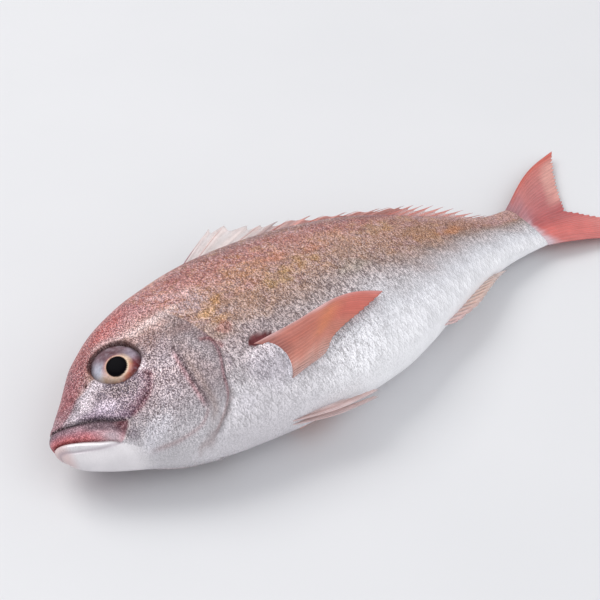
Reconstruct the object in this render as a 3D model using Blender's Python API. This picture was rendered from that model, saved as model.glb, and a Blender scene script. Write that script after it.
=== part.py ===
"""A whole raw sea bream lying on its right side.

Metres. +X runs from the snout to the tail, +Y towards the back, and +Z up, out of the left flank.
The origin is the middle of the underside of the whole fish's box.
"""

import math

import bmesh
import bpy
from mathutils import Matrix, Vector

# Driving dimensions
BODY_LENGTH = 0.250  # from the snout to the root of the tail fin
GAP = 0.0003  # clearance between pieces that touch
FIN_THICKNESS = 0.0009
EYE_RADIUS = 0.0098
EYE_DEPTH = 0.0044  # half the eyeball's size along the way it looks
EYE_SUNK = 0.0028  # from the skin down to the eyeball's middle
MOUTH_GAP = 0.0008
GILL_STEP = 0.0013  # how far the gill cover's edge stands above the shoulder
CHEEK_STEP = 0.0006  # the same for the bony cheek plate

# The body's outline, as (distance from the snout, height over the axis) in body lengths
BACK = [
    (0.0, -0.020), (0.012, 0.012), (0.05, 0.057), (0.10, 0.116), (0.17, 0.166), (0.26, 0.197),
    (0.38, 0.216), (0.48, 0.216), (0.58, 0.208), (0.72, 0.178), (0.84, 0.123), (0.93, 0.082), (1.0, 0.084),
]
BELLY = [
    (0.0, -0.020), (0.015, -0.070), (0.05, -0.098), (0.10, -0.126), (0.17, -0.160), (0.26, -0.180),
    (0.36, -0.187), (0.46, -0.188), (0.58, -0.170), (0.72, -0.113), (0.84, -0.062), (0.93, -0.041), (1.0, -0.034),
]
HALF_WIDTH = [
    (0.0, 0.0), (0.012, 0.018), (0.05, 0.036), (0.10, 0.052), (0.17, 0.070), (0.26, 0.086),
    (0.36, 0.092), (0.46, 0.090), (0.58, 0.078), (0.72, 0.056), (0.84, 0.036), (0.92, 0.024), (1.0, 0.010),
]
# Height of the fish's middle plane over the table: the tail droops
LEVEL = [(0.0, 0.0765), (0.3, 0.0865), (0.6, 0.0785), (0.85, 0.051), (1.0, 0.0305)]
WIDEST = 0.06  # how far the widest line lies above half height, in body depths
BACK_POWER, BELLY_POWER = 1.90, 2.15  # 2 is an ellipse, more is squarer

# Rear edges of the head's plates: (share of the half depth, -1 belly to 1 back; distance from the snout)
GILL_EDGE = [
    (-1.0, 0.165), (-0.97, 0.197), (-0.90, 0.222), (-0.78, 0.250), (-0.60, 0.266), (-0.40, 0.282), (-0.20, 0.279),
    (0.10, 0.262), (0.50, 0.240), (1.0, 0.215),
]
CHEEK_EDGE = [
    (-1.0, 0.110), (-0.93, 0.158), (-0.85, 0.192), (-0.72, 0.210), (-0.50, 0.217), (-0.25, 0.222),
    (0.0, 0.224), (0.4, 0.215), (1.0, 0.190),
]
CHEEK_TOP, GILL_TOP = 0.15, 0.05  # the plates' edges fade out towards these shares of the half depth
EYE = (0.141, 0.12)  # distance from the snout, share of the half depth

# The fins' places along the body, in body lengths
DORSAL = (0.385, 0.905)
ANAL = (0.672, 0.835)
PELVIC = (0.325, 0.345)
PECTORAL = 0.370
PECTORAL_TOP, PECTORAL_BOTTOM = -0.53, -0.81  # shares of the half depth

# How finely the shapes are divided
RINGS = 60
AROUND = 36
GILL_RING = 24
FLANK_CROWDING = 0.12  # draws the lines along the body towards the flanks


def slope_at(points, k):
    """Slope of the smooth curve at its point k: the mean of its two chords, the nearer one counting more."""
    def chord(i):
        return (points[i + 1][1] - points[i][1]) / (points[i + 1][0] - points[i][0])
    if k == 0:
        return chord(0)
    if k == len(points) - 1:
        return chord(k - 1)
    before = points[k][0] - points[k - 1][0]
    after = points[k + 1][0] - points[k][0]
    return (chord(k - 1) * after + chord(k) * before) / (before + after)


def smooth(points, x):
    """Value at x of a smooth curve through points."""
    k = 0
    while k < len(points) - 2 and x > points[k + 1][0]:
        k += 1
    (x0, y0), (x1, y1) = points[k], points[k + 1]
    span = x1 - x0
    t = min(max((x - x0) / span, 0.0), 1.0)
    rise = t * t * (3 - 2 * t)
    bend = slope_at(points, k) * t * (1 - t) ** 2 - slope_at(points, k + 1) * t * t * (1 - t)
    return y0 + (y1 - y0) * rise + span * bend


def blunt(points, x):
    """The same for a curve that starts round, like a nose: it is smooth against the root of x."""
    return smooth([(math.sqrt(px), py) for px, py in points], math.sqrt(x))


def ease(x):
    """0 below 0, 1 above 1, and a soft step between."""
    x = min(max(x, 0.0), 1.0)
    return x * x * (3 - 2 * x)


def back_height(x):
    """Height of the back over the axis at x body lengths, in metres."""
    return blunt(BACK, x) * BODY_LENGTH


def belly_height(x):
    return blunt(BELLY, x) * BODY_LENGTH


def level(x):
    """Height of the middle plane over the table."""
    return smooth(LEVEL, x) * BODY_LENGTH


def skin(x, share, side):
    """Point of the smooth body: share runs from -1, the belly, to 1, the back; side is 1 for the left flank."""
    back, belly = back_height(x), belly_height(x)
    widest = (back + belly) / 2 + WIDEST * (back - belly)
    power = BACK_POWER if share > 0 else BELLY_POWER
    reach = back - widest if share > 0 else widest - belly
    bulge = max(1 - abs(share) ** power, 0.0) ** (1 / power)
    height = level(x) + side * blunt(HALF_WIDTH, x) * BODY_LENGTH * bulge
    return Vector((x * BODY_LENGTH, widest + reach * share, max(height, 0.0)))


def outward(x, share, side):
    """Direction out of the skin."""
    step = 1e-3
    along = skin(x + step, share, side) - skin(x - step, share, side)
    up = skin(x, share + step, side) - skin(x, share - step, side)
    return along.cross(up).normalized() * side


def plate_relief(x, share, edge, top, ramp):
    """0 to 1: a plate that rises from its front to its rear edge, and fades out at its top."""
    ahead = smooth(edge, share) - x
    rise = 1 - ease(ahead / ramp) if ahead > -1e-6 else 0.0
    return rise * ease((top - share) / 0.35)


def dressed_skin(x, share, side):
    """Point of the body with the relief of the head's plates."""
    point = skin(x, share, side)
    relief = GILL_STEP * plate_relief(x, share, GILL_EDGE, GILL_TOP, 0.085)
    relief += CHEEK_STEP * plate_relief(x, share, CHEEK_EDGE, CHEEK_TOP, 0.06)
    if relief and abs(share) < 0.999:
        point += outward(x, share, side) * relief
    point.z = max(point.z, 0.0)
    return point


def stations():
    """Distances of the rings from the snout, close together at the head, with a pair at the gill cover's edge."""
    evenly = [(k / (RINGS - 2)) ** 1.5 for k in range(RINGS - 1)]
    behind_edge = evenly[GILL_RING] + 0.002
    return evenly[: GILL_RING + 1] + [behind_edge] + evenly[GILL_RING + 1 :] + [1.0]


def swept_station(x, share, edge_place):
    """Moves a ring so that those by the gill cover run along its edge."""
    pull = ease(x / edge_place) if x < edge_place else 1 - ease((x - edge_place) / 0.24)
    return x + pull * (smooth(GILL_EDGE, share) - edge_place)


def material(name, colour, roughness, metallic=0.0):
    made = bpy.data.materials.new(name)
    made.use_nodes = True
    shader = made.node_tree.nodes["Principled BSDF"]
    shader.inputs["Base Color"].default_value = (*colour, 1.0)
    shader.inputs["Roughness"].default_value = roughness
    shader.inputs["Metallic"].default_value = metallic
    return made


def add_object(name, bm, finish=None):
    mesh = bpy.data.meshes.new(name)
    bm.to_mesh(mesh)
    bm.free()
    mesh.shade_smooth()
    if finish:
        mesh.materials.append(finish)
    made = bpy.data.objects.new(name, mesh)
    bpy.context.scene.collection.objects.link(made)
    return made


def body_mesh():
    """A sphere whose poles are the snout and the tail's root, drawn out to the body's shape."""
    bm = bmesh.new()
    bmesh.ops.create_uvsphere(bm, u_segments=AROUND, v_segments=RINGS, radius=1.0)
    places = stations()
    edge_place = places[GILL_RING]
    for vert in bm.verts:
        ring = round(math.acos(max(-1.0, min(1.0, vert.co.z))) / math.pi * RINGS)
        if ring in (0, RINGS):
            vert.co = skin(places[ring], 0.0, 1)
            vert.co.z = level(places[ring])
            continue
        turn = math.atan2(vert.co.y, vert.co.x)
        turn -= FLANK_CROWDING * math.sin(2 * turn)
        power = BACK_POWER if turn > 0 else BELLY_POWER
        share = math.copysign(abs(math.sin(turn)) ** (2 / power), turn)
        side = 1 if abs(turn) <= math.pi / 2 else -1
        x = swept_station(places[ring], share, edge_place) if ring < RINGS - 1 else 1.0
        vert.co = dressed_skin(min(x, 1.0), share, side)
    bmesh.ops.recalc_face_normals(bm, faces=bm.faces)
    return bm


def eyeball_mesh(side, grow=0.0):
    """A flattened ball, sunk in the head and looking out of it."""
    place = skin(*EYE, side)
    look = outward(*EYE, side)
    turned = look.to_track_quat("Z", "Y").to_matrix().to_4x4()
    size = Matrix.Diagonal((EYE_RADIUS + grow, EYE_RADIUS + grow, EYE_DEPTH + grow, 1.0))
    bm = bmesh.new()
    bmesh.ops.create_uvsphere(bm, u_segments=20, v_segments=12, radius=1.0)
    bmesh.ops.transform(bm, matrix=Matrix.Translation(place - look * EYE_SUNK) @ turned @ size, verts=bm.verts)
    return bm


def mouth_mesh():
    """The closed mouth's slit: a thin curved slab right through the muzzle, thinner towards its corners."""
    line = [(-0.02, -0.012), (0.003, -0.024), (0.020, -0.039), (0.039, -0.055), (0.058, -0.072), (0.080, -0.089)]
    bm = bmesh.new()
    upper, lower = [], []
    for k in range(13):
        x = line[0][0] + (line[-1][0] - line[0][0]) * k / 12
        half = MOUTH_GAP / 2 * (1 - 0.7 * ease(k / 12))
        y = smooth(line, x) * BODY_LENGTH
        upper.append(bm.verts.new((x * BODY_LENGTH, y + half, -0.01)))
        lower.append(bm.verts.new((x * BODY_LENGTH, y - half, -0.01)))
    face = bm.faces.new(upper + lower[::-1])
    raised = bmesh.ops.extrude_face_region(bm, geom=[face])["geom"]
    bmesh.ops.translate(bm, vec=(0, 0, 0.06), verts=[v for v in raised if isinstance(v, bmesh.types.BMVert)])
    bmesh.ops.recalc_face_normals(bm, faces=bm.faces)
    return bm


def cut(target, bm, name):
    """Takes the closed mesh away from the target."""
    cutter = add_object(name, bm)
    cutter.hide_render = True
    cutter.display_type = "WIRE"
    taken = target.modifiers.new(name, "BOOLEAN")
    taken.operation = "DIFFERENCE"
    taken.object = cutter
    return cutter


def add_fin(name, surface, rays, steps, notch, finish):
    """A thin blade. surface(u, v) is its middle: u runs over the rays and v along them, from root to edge.

    The edge is cut back between the rays by the share that notch(u) gives.
    """
    bm = bmesh.new()
    bmesh.ops.create_grid(bm, x_segments=2 * rays, y_segments=steps, size=0.5)
    for vert in bm.verts:
        u, v = vert.co.x + 0.5, vert.co.y + 0.5
        between = round(u * 2 * rays) % 2
        vert.co = surface(u, v * (1 - notch(u) * between))
    fin = add_object(name, bm, finish)
    thick = fin.modifiers.new("thickness", "SOLIDIFY")
    thick.thickness = FIN_THICKNESS
    thick.offset = 0.0
    return fin


def edge_line(x, height):
    """Point of the back or the belly at x body lengths, with the directions along and out of it.

    height is back_height or belly_height.
    """
    step = 0.005
    along = Vector((2 * step * BODY_LENGTH, height(x + step) - height(x - step), 0.0)).normalized()
    out = Vector((-along.y, along.x, 0.0)) * (1 if height is back_height else -1)
    point = Vector((x * BODY_LENGTH, height(x), level(x))) + out * GAP
    return point, along, out


def ray_fin(height, span, lean, length):
    """A surface of rays that stand on the back or the belly and lean towards the tail.

    lean and length are curves over the fin, in degrees and metres.
    """
    def surface(u, v):
        root, along, out = edge_line(span[0] + (span[1] - span[0]) * u, height)
        angle = math.radians(smooth(lean, u))
        return root + (along * math.cos(angle) + out * math.sin(angle)) * smooth(length, u) * v
    return surface


def dorsal_notch(u):
    """The spines in front stand further out of the skin between them than the soft rays behind."""
    return 0.26 - 0.16 * ease((u - 0.45) / 0.2)


def tail_surface(u, v):
    """The forked tail fin: u runs from its lower to its upper edge, v from its root to its hind edge."""
    low_tip, fork, high_tip = Vector((1.172, -0.088)), Vector((1.104, 0.038)), Vector((1.202, 0.190))
    split = 0.46
    root_y = belly_height(1.0) + (back_height(1.0) - belly_height(1.0)) * u
    root = Vector((BODY_LENGTH + GAP, root_y, level(1.0)))
    if u < split:
        away = 1 - u / split
        edge = fork.lerp(low_tip, away) + Vector((0.018, 0.0)) * math.sin(math.pi * away)
    else:
        away = (u - split) / (1 - split)
        edge = fork.lerp(high_tip, away) + Vector((-0.006, 0.0)) * math.sin(math.pi * away)
    tip = Vector((edge.x * BODY_LENGTH, edge.y * BODY_LENGTH, 0.0015 + 0.0025 * u))
    point = root.lerp(tip, v)
    point.z = root.z + (tip.z - root.z) * ease(v * 0.5 + 0.5 * v * v)
    return point


def pectoral_surface(side):
    """The pectoral fin lies back along the flank: u runs from its lower to its upper edge.

    The right one lies lower on the flank, where it has room over the table.
    """
    lower = 0.0 if side > 0 else 0.07
    tips = [(0.0, 0.415), (0.25, 0.470), (0.5, 0.515), (0.75, 0.550), (1.0, 0.580)]
    heights = [(0.0, -0.82), (0.25, -0.775), (0.5, -0.71), (0.75, -0.635), (1.0, -0.560)]

    def surface(u, v):
        share_root = PECTORAL_BOTTOM + (PECTORAL_TOP - PECTORAL_BOTTOM) * u
        x = PECTORAL + (smooth(tips, u) - PECTORAL) * v
        share = share_root + (smooth(heights, u) - share_root) * v + 0.045 * math.sin(math.pi * v) * u - lower
        stand_off = 2 * GAP + FIN_THICKNESS / 2 + (0.0022 * v if side > 0 else 0.0)
        point = skin(x, share, side) + outward(x, share, side) * stand_off
        point.z = max(point.z, FIN_THICKNESS / 2)
        return point
    return surface


def pelvic_surface(side):
    """The pelvic fins lie back side by side under the belly: u runs from the belly side to the outer edge."""
    def surface(u, v):
        root, _, _ = edge_line(PELVIC[1] + (PELVIC[0] - PELVIC[1]) * u, belly_height)
        tip, _, out = edge_line(0.425 + 0.055 * ease(u / 0.8), belly_height)
        tip += out * (0.0008 + 0.0042 * u)
        point = root.lerp(tip, v) + out * 0.0022 * u * math.sin(math.pi * v)
        point.z += side * (0.0010 + 0.0008 * v)
        return point
    return surface


def move_to_origin():
    """Puts the middle of the underside of all the solids' box at the origin."""
    bpy.context.view_layer.update()
    graph = bpy.context.evaluated_depsgraph_get()
    corners = []
    for obj in bpy.data.objects:
        if not obj.hide_render:
            mesh = obj.evaluated_get(graph).to_mesh()
            corners += [vert.co.copy() for vert in mesh.vertices]
    low = Vector(min(corner[axis] for corner in corners) for axis in range(3))
    high = Vector(max(corner[axis] for corner in corners) for axis in range(3))
    shift = Matrix.Translation((-(low.x + high.x) / 2, -(low.y + high.y) / 2, -low.z))
    for obj in bpy.data.objects:
        obj.data.transform(shift)


def build():
    for obj in list(bpy.data.objects):
        bpy.data.objects.remove(obj)

    skin_finish = material("silver pink skin", (0.62, 0.50, 0.50), 0.35, 0.2)
    eye_finish = material("wet eye", (0.05, 0.03, 0.03), 0.08)
    pale_fin = material("pale fin", (0.72, 0.50, 0.46), 0.45)
    red_fin = material("red fin", (0.62, 0.20, 0.13), 0.45)

    body = add_object("body", body_mesh(), skin_finish)
    cut(body, mouth_mesh(), "mouth slit")
    for side, name in ((1, "left"), (-1, "right")):
        add_object(f"eye_{name}", eyeball_mesh(side), eye_finish)
        cut(body, eyeball_mesh(side, GAP), f"{name} eye socket")
        add_fin(f"pectoral_fin_{name}", pectoral_surface(side), 10, 5, lambda u: 0.03, red_fin)
        add_fin(f"pelvic_fin_{name}", pelvic_surface(side), 4, 6, lambda u: 0.06, pale_fin)

    dorsal = ray_fin(
        back_height, DORSAL,
        lean=[(0.0, 44), (0.12, 40), (0.3, 22), (0.6, 17), (1.0, 20)],
        length=[(0.0, 0.012), (0.06, 0.024), (0.16, 0.026), (0.3, 0.025), (0.6, 0.024), (0.85, 0.018), (1.0, 0.010)],
    )
    add_fin("dorsal_fin", dorsal, 22, 4, dorsal_notch, pale_fin)
    anal = ray_fin(
        belly_height, ANAL,
        lean=[(0.0, 40), (1.0, 34)],
        length=[(0.0, 0.007), (0.2, 0.012), (0.5, 0.014), (1.0, 0.012)],
    )
    add_fin("anal_fin", anal, 11, 3, lambda u: 0.10, pale_fin)
    add_fin("tail_fin", tail_surface, 16, 7, lambda u: 0.03, red_fin)
    move_to_origin()


build()
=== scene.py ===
# %% [markdown]
# # A whole raw sea bream
#
# This lesson dresses a plain solid fish: the solids give its size and place, and each cell below gives one part of
# it the form and the finish that a fresh fish has. The fish lies on its right side. +X runs from its snout to its
# tail, +Y towards its back and +Z up, out of its left flank.

# %% Load the frame
import math

import bmesh
import bpy
import numpy as np
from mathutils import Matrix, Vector


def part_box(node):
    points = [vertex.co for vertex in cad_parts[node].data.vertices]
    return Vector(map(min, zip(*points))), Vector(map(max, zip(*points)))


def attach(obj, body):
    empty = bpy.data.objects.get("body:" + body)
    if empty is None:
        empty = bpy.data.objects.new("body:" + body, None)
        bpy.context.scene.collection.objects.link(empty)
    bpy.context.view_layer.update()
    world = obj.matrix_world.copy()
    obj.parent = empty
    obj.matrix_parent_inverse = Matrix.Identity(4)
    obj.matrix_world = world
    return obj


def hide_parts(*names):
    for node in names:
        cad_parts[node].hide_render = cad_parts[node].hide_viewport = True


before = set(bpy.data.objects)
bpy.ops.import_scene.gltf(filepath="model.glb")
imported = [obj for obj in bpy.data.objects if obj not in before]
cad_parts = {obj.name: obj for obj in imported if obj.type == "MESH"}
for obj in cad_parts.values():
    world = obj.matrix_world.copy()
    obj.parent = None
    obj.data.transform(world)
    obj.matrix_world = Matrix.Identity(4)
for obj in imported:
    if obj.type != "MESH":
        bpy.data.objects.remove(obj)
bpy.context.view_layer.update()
body_low, body_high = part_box("body")
LENGTH = body_high.x - body_low.x
MILLIMETRE = 0.001

# %% [markdown]
# ## The body's form as a few curves
#
# A fish's body can be sculpted, or lofted from its outline. Four curves over its length are enough for a loft: the
# back, the belly, the half width and the height of its middle plane. They are the same named values that the solid
# was made from, so the dressed body lies on the solid.

# %% Outline curves, in body lengths from the snout
BACK = [
    (0.0, -0.020), (0.012, 0.012), (0.05, 0.057), (0.10, 0.116), (0.17, 0.166), (0.26, 0.197),
    (0.38, 0.216), (0.48, 0.216), (0.58, 0.208), (0.72, 0.178), (0.84, 0.123), (0.93, 0.082), (1.0, 0.084),
]
BELLY = [
    (0.0, -0.020), (0.015, -0.070), (0.05, -0.098), (0.10, -0.126), (0.17, -0.160), (0.26, -0.180),
    (0.36, -0.187), (0.46, -0.188), (0.58, -0.170), (0.72, -0.113), (0.84, -0.062), (0.93, -0.041), (1.0, -0.034),
]
HALF_WIDTH = [
    (0.0, 0.0), (0.012, 0.018), (0.05, 0.036), (0.10, 0.052), (0.17, 0.070), (0.26, 0.086),
    (0.36, 0.092), (0.46, 0.090), (0.58, 0.078), (0.72, 0.056), (0.84, 0.036), (0.92, 0.024), (1.0, 0.010),
]
LEVEL = [(0.0, 0.0765), (0.3, 0.0865), (0.6, 0.0785), (0.85, 0.051), (1.0, 0.0305)]
WIDEST = 0.06  # how far the widest line lies over the middle of the depth, as a share of the depth
BACK_POWER, BELLY_POWER = 1.90, 2.15  # how full the section is over and under that line; 2 is an ellipse


def smooth(points, x):
    """A smooth curve through points, read at x, a number or an array."""
    px, py = np.array(points, float).T
    span = np.diff(px)
    chord = np.diff(py) / span
    inner = (chord[:-1] * span[1:] + chord[1:] * span[:-1]) / (span[:-1] + span[1:])
    slope = np.concatenate([chord[:1], inner, chord[-1:]])
    k = np.clip(np.searchsorted(px, x, side="right") - 1, 0, len(span) - 1)
    t = np.clip((x - px[k]) / span[k], 0.0, 1.0)
    bend = slope[k] * t * (1 - t) ** 2 - slope[k + 1] * t * t * (1 - t)
    return py[k] + (py[k + 1] - py[k]) * t * t * (3 - 2 * t) + span[k] * bend


def blunt(points, x):
    """The same for a curve that starts round, like a nose: it is smooth against the root of x."""
    return smooth([(math.sqrt(px), py) for px, py in points], np.sqrt(x))


def step(low, high, x):
    """A soft step from 0 at low to 1 at high; low may be the larger one."""
    t = np.clip((x - low) / (high - low), 0.0, 1.0)
    return t * t * (3 - 2 * t)


AXIS = body_high.y - smooth(BACK, np.linspace(0.3, 0.6, 200)).max() * LENGTH
ORIGIN = np.array([body_low.x, AXIS, 0.0])
print("the fish's axis runs at y =", round(AXIS * 1000, 2), "mm")

# %% [markdown]
# ## Points of the smooth skin
#
# share says how high a point lies on its flank: -1 is the belly's ridge, 0 the widest line and 1 the ridge of the
# back. side is 1 on the left flank and -1 on the right one. With x and share every mark on the fish has a place.

# %% Skin points, and the directions out of the skin
def flank_lines(x):
    """Heights of the back, the widest line and the belly over the axis, in body lengths."""
    back, belly = blunt(BACK, x), blunt(BELLY, x)
    return back, (back + belly) / 2 + WIDEST * (back - belly), belly


def skin(x, share, side):
    back, widest, belly = flank_lines(x)
    power = np.where(share > 0, BACK_POWER, BELLY_POWER)
    reach = np.where(share > 0, back - widest, widest - belly)
    bulge = np.maximum(1 - np.abs(share) ** power, 0.0) ** (1 / power)
    height = np.maximum(smooth(LEVEL, x) + side * blunt(HALF_WIDTH, x) * bulge, 0.0)
    return np.stack(np.broadcast_arrays(x, widest + reach * share, height), -1) * LENGTH + ORIGIN


def unit(vectors):
    return vectors / np.maximum(np.linalg.norm(vectors, axis=-1, keepdims=True), 1e-12)


def outward(x, share, side):
    d = 2e-3
    along = skin(x + d, share, side) - skin(np.maximum(x - d, 0.0), share, side)
    up = skin(x, np.minimum(share + d, 1.0), side) - skin(x, np.maximum(share - d, -1.0), side)
    return unit(np.cross(along, up)) * np.asarray(side)[..., None]


print("thickest", round(2000 * LENGTH * max(w for _, w in HALF_WIDTH), 1), "mm")

# %% [markdown]
# ## Camera
#
# The camera stands on the belly side, a little towards the head, and looks down at the fish. A portrait lens keeps
# the perspective mild: from close by with a wide lens the head would look too big for the tail.

# %% Camera
AZIMUTH, ELEVATION = math.radians(-34.0), math.radians(42.5)
DISTANCE, FOCAL_LENGTH = 0.642, 90.0
look_at = Vector(ORIGIN) + Vector((0.507 * LENGTH, 0.053 * LENGTH, 0.0191))
towards_camera = Vector((
    math.sin(AZIMUTH) * math.cos(ELEVATION),
    -math.cos(AZIMUTH) * math.cos(ELEVATION),
    math.sin(ELEVATION),
))
lens = bpy.data.cameras.new("camera")
lens.lens = FOCAL_LENGTH
lens.clip_start = 0.01


def place_facing_fish(name, data, place):
    """Puts a camera or a lamp at a place and turns it to the fish."""
    made = bpy.data.objects.new(name, data)
    made.location = place
    made.rotation_euler = (look_at - Vector(place)).to_track_quat("-Z", "Y").to_euler()
    bpy.context.scene.collection.objects.link(made)
    return made


camera = place_facing_fish("camera", lens, look_at + towards_camera * DISTANCE)
bpy.context.scene.camera = camera
bpy.context.scene.view_settings.view_transform = "Standard"
print("camera at", [round(c, 3) for c in camera.location])

# %% [markdown]
# ## Shader maths as plain expressions
#
# A Field wraps one output of a node. Adding or multiplying Fields adds Math nodes, so a pattern reads like a
# formula. Any other node comes from Finish.node, which first sets the node up and then fills its sockets.

# %% The Field and Finish classes
class Field:
    def __init__(self, tree, socket):
        self.tree, self.socket = tree, socket

    def maths(self, operation, *values):
        node = self.tree.nodes.new("ShaderNodeMath")
        node.operation = operation
        for entry, value in zip(node.inputs, values):
            if isinstance(value, Field):
                self.tree.links.new(value.socket, entry)
            else:
                entry.default_value = value
        return Field(self.tree, node.outputs[0])

    def __add__(self, other):
        return self.maths("ADD", self, other)

    def __sub__(self, other):
        return self.maths("SUBTRACT", self, other)

    def __rsub__(self, other):
        return self.maths("SUBTRACT", other, self)

    def __mul__(self, other):
        return self.maths("MULTIPLY", self, other)

    __radd__, __rmul__ = __add__, __mul__

    def floor(self):
        return self.maths("FLOOR", self)

    def fraction(self):
        return self.maths("FRACT", self)

    def root(self):
        return self.maths("SQRT", self)

    def over(self, other):
        """1 where this is greater than other, and 0 elsewhere."""
        return self.maths("GREATER_THAN", self, other)

    def between(self, low, high):
        """A soft step from 0 at low to 1 at high."""
        node = self.tree.nodes.new("ShaderNodeMapRange")
        node.interpolation_type = "SMOOTHSTEP"
        node.inputs["From Min"].default_value = low
        node.inputs["From Max"].default_value = high
        self.tree.links.new(self.socket, node.inputs["Value"])
        return Field(self.tree, node.outputs[0])

    def choose(self, first, second):
        """first where this is 0, and second where it is 1."""
        return first + (second - first) * self


class Finish:
    """A material with a Principled shader, and ways to add what varies over the surface."""

    def __init__(self, name, **constants):
        self.material = bpy.data.materials.new(name)
        self.material.use_nodes = True
        self.tree = self.material.node_tree
        self.shader = self.tree.nodes["Principled BSDF"]
        for socket, value in constants.items():
            self.shader.inputs[socket.replace("_", " ")].default_value = value

    def node(self, kind, settings=None, inputs=None, output=0):
        node = self.tree.nodes.new("ShaderNode" + kind)
        for key, value in (settings or {}).items():
            setattr(node, key, value)
        for key, value in (inputs or {}).items():
            if isinstance(value, Field):
                self.tree.links.new(value.socket, node.inputs[key])
            else:
                node.inputs[key].default_value = value
        return Field(self.tree, node.outputs[output])

    def attribute(self, name, output):
        return self.node("Attribute", {"attribute_name": name}, output=output)

    def parts(self, vector):
        split = self.tree.nodes.new("ShaderNodeSeparateXYZ")
        self.tree.links.new(vector.socket, split.inputs[0])
        return [Field(self.tree, socket) for socket in split.outputs]

    def vector(self, x, y, z=0.0):
        return self.node("CombineXYZ", inputs={0: x, 1: y, 2: z})

    def noise(self, where, scale, detail=2.0, roughness=0.5):
        inputs = {"Vector": where, "Scale": scale, "Detail": detail, "Roughness": roughness}
        return self.node("TexNoise", inputs=inputs)

    def mix(self, share, first, second, blend="MIX"):
        """A colour between first and second; a plain colour is (red, green, blue), 0 to 255 each."""
        inputs = {0: share}
        for key, colour in ((6, first), (7, second)):
            inputs[key] = colour if isinstance(colour, Field) else (*tint(*colour), 1.0)
        return self.node("Mix", {"data_type": "RGBA", "blend_type": blend}, inputs, output=2)

    def times(self, colour, number):
        """The colour made lighter or darker by the number."""
        return self.mix(1.0, colour, self.node("CombineColor", inputs={0: number, 1: number, 2: number}), "MULTIPLY")

    def feed(self, **sockets):
        for socket, value in sockets.items():
            self.tree.links.new(value.socket, self.shader.inputs[socket.replace("_", " ")])

    def bump(self, height, distance, strength=1.0):
        inputs = {"Height": height, "Distance": distance, "Strength": strength}
        self.feed(Normal=self.node("Bump", inputs=inputs))


def tint(red, green, blue):
    """A colour picked on a screen, from 0 to 255, as the linear light that a shader takes."""
    def linear(c):
        return c / 12.92 if c < 0.04045 else ((c + 0.055) / 1.055) ** 2.4
    return tuple(linear(c / 255) for c in (red, green, blue))


print("a mid grey is", round(tint(128, 128, 128)[0], 3), "in linear light")

# %% [markdown]
# ## Floor and lights
#
# The floor is a plain pale sheet. Small lamps would turn wet skin into hard glints, so one big soft light from behind
# the back makes its broad sheen and a faint shadow under the jaw and the belly. A weaker one in front and a pale sky
# fill the rest.

# %% Floor and lights
FLOOR_SIDE = 6.0
bm = bmesh.new()
bmesh.ops.create_grid(bm, x_segments=1, y_segments=1, size=FLOOR_SIDE / 2)
floor_mesh = bpy.data.meshes.new("floor")
bm.to_mesh(floor_mesh)
bm.free()
floor = bpy.data.objects.new("floor", floor_mesh)
bpy.context.scene.collection.objects.link(floor)
table_top = Finish("pale table top", Roughness=0.55)
where = table_top.node("TexCoord", output="Object")
clouds = table_top.noise(where, 9.0, 4.0)
table_top.feed(Base_Color=table_top.mix(clouds, (224, 225, 227), (231, 231, 233)))
floor_mesh.materials.append(table_top.material)


def add_light(name, place, size, watts, colour=(1.0, 1.0, 1.0)):
    """A square soft light of size metres."""
    lamp = bpy.data.lights.new(name, "AREA")
    lamp.size = size
    lamp.energy = watts
    lamp.color = colour
    place_facing_fish(name, lamp, place)


add_light("window behind the back", (-0.42, 0.92, 1.35), 1.1, 14.0, (1.0, 0.985, 0.97))
add_light("soft fill", (0.42, -1.22, 1.02), 1.8, 11.2)
world = bpy.data.worlds.new("studio")
bpy.context.scene.world = world
world.use_nodes = True
sky = world.node_tree.nodes["Background"]
sky.inputs["Color"].default_value = (0.95, 0.96, 1.0, 1.0)
sky.inputs["Strength"].default_value = 0.56
print("two soft lights and a pale sky")

# %% [markdown]
# ## The mesh of the body
#
# The skin of a whole fish is one closed surface. A ball is the right start: its poles become the snout and the root
# of the tail, and its rings become the body's cross-sections. The rings are closest on the head, where lips and
# bones need them, and those by the gill cover are swept along its edge, so the fold there can be a real one.

# %% Where the rings and the columns of the ball go
AROUND = 288
# (distance from the snout, mm to the next ring)
RING_SPACING = [(0.0, 0.12), (0.02, 0.4), (0.10, 0.55), (0.30, 0.55), (0.40, 0.9), (1.0, 1.2)]
# (share of the half depth, distance from the snout)
GILL_EDGE = [
    (-1.0, 0.165), (-0.97, 0.197), (-0.90, 0.222), (-0.78, 0.250), (-0.60, 0.266), (-0.40, 0.282), (-0.20, 0.279),
    (0.10, 0.262), (0.50, 0.240), (1.0, 0.215),
]
GILL_PLACE, GILL_REACH = 0.262, 0.24  # where the swept rings are, and how far behind them the sweep ends
# The section of the gill cover's edge: how far towards the tail and how far out of the skin, in mm
GILL_FOLD = [
    (0.0, 0.9), (0.30, 0.62), (0.20, 0.30), (-0.5, 0.05), (-1.0, -0.2), (-0.5, -0.32), (0.5, -0.26), (1.7, -0.12),
    (3.0, 0.0),
]
FOLD_SPREAD = 3.5  # mm, the room of those rings where there is no fold
MM = MILLIMETRE / LENGTH  # a millimetre in body lengths


def ring_places(start, end):
    """Distances from the snout for the rings between start and end, spaced as RING_SPACING says."""
    places = [start]
    while places[-1] < end:
        places.append(places[-1] + smooth(RING_SPACING, places[-1]) * MM)
    places = np.array(places)
    return start + (places - start) * (end - start) / (places[-1] - start)


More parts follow.
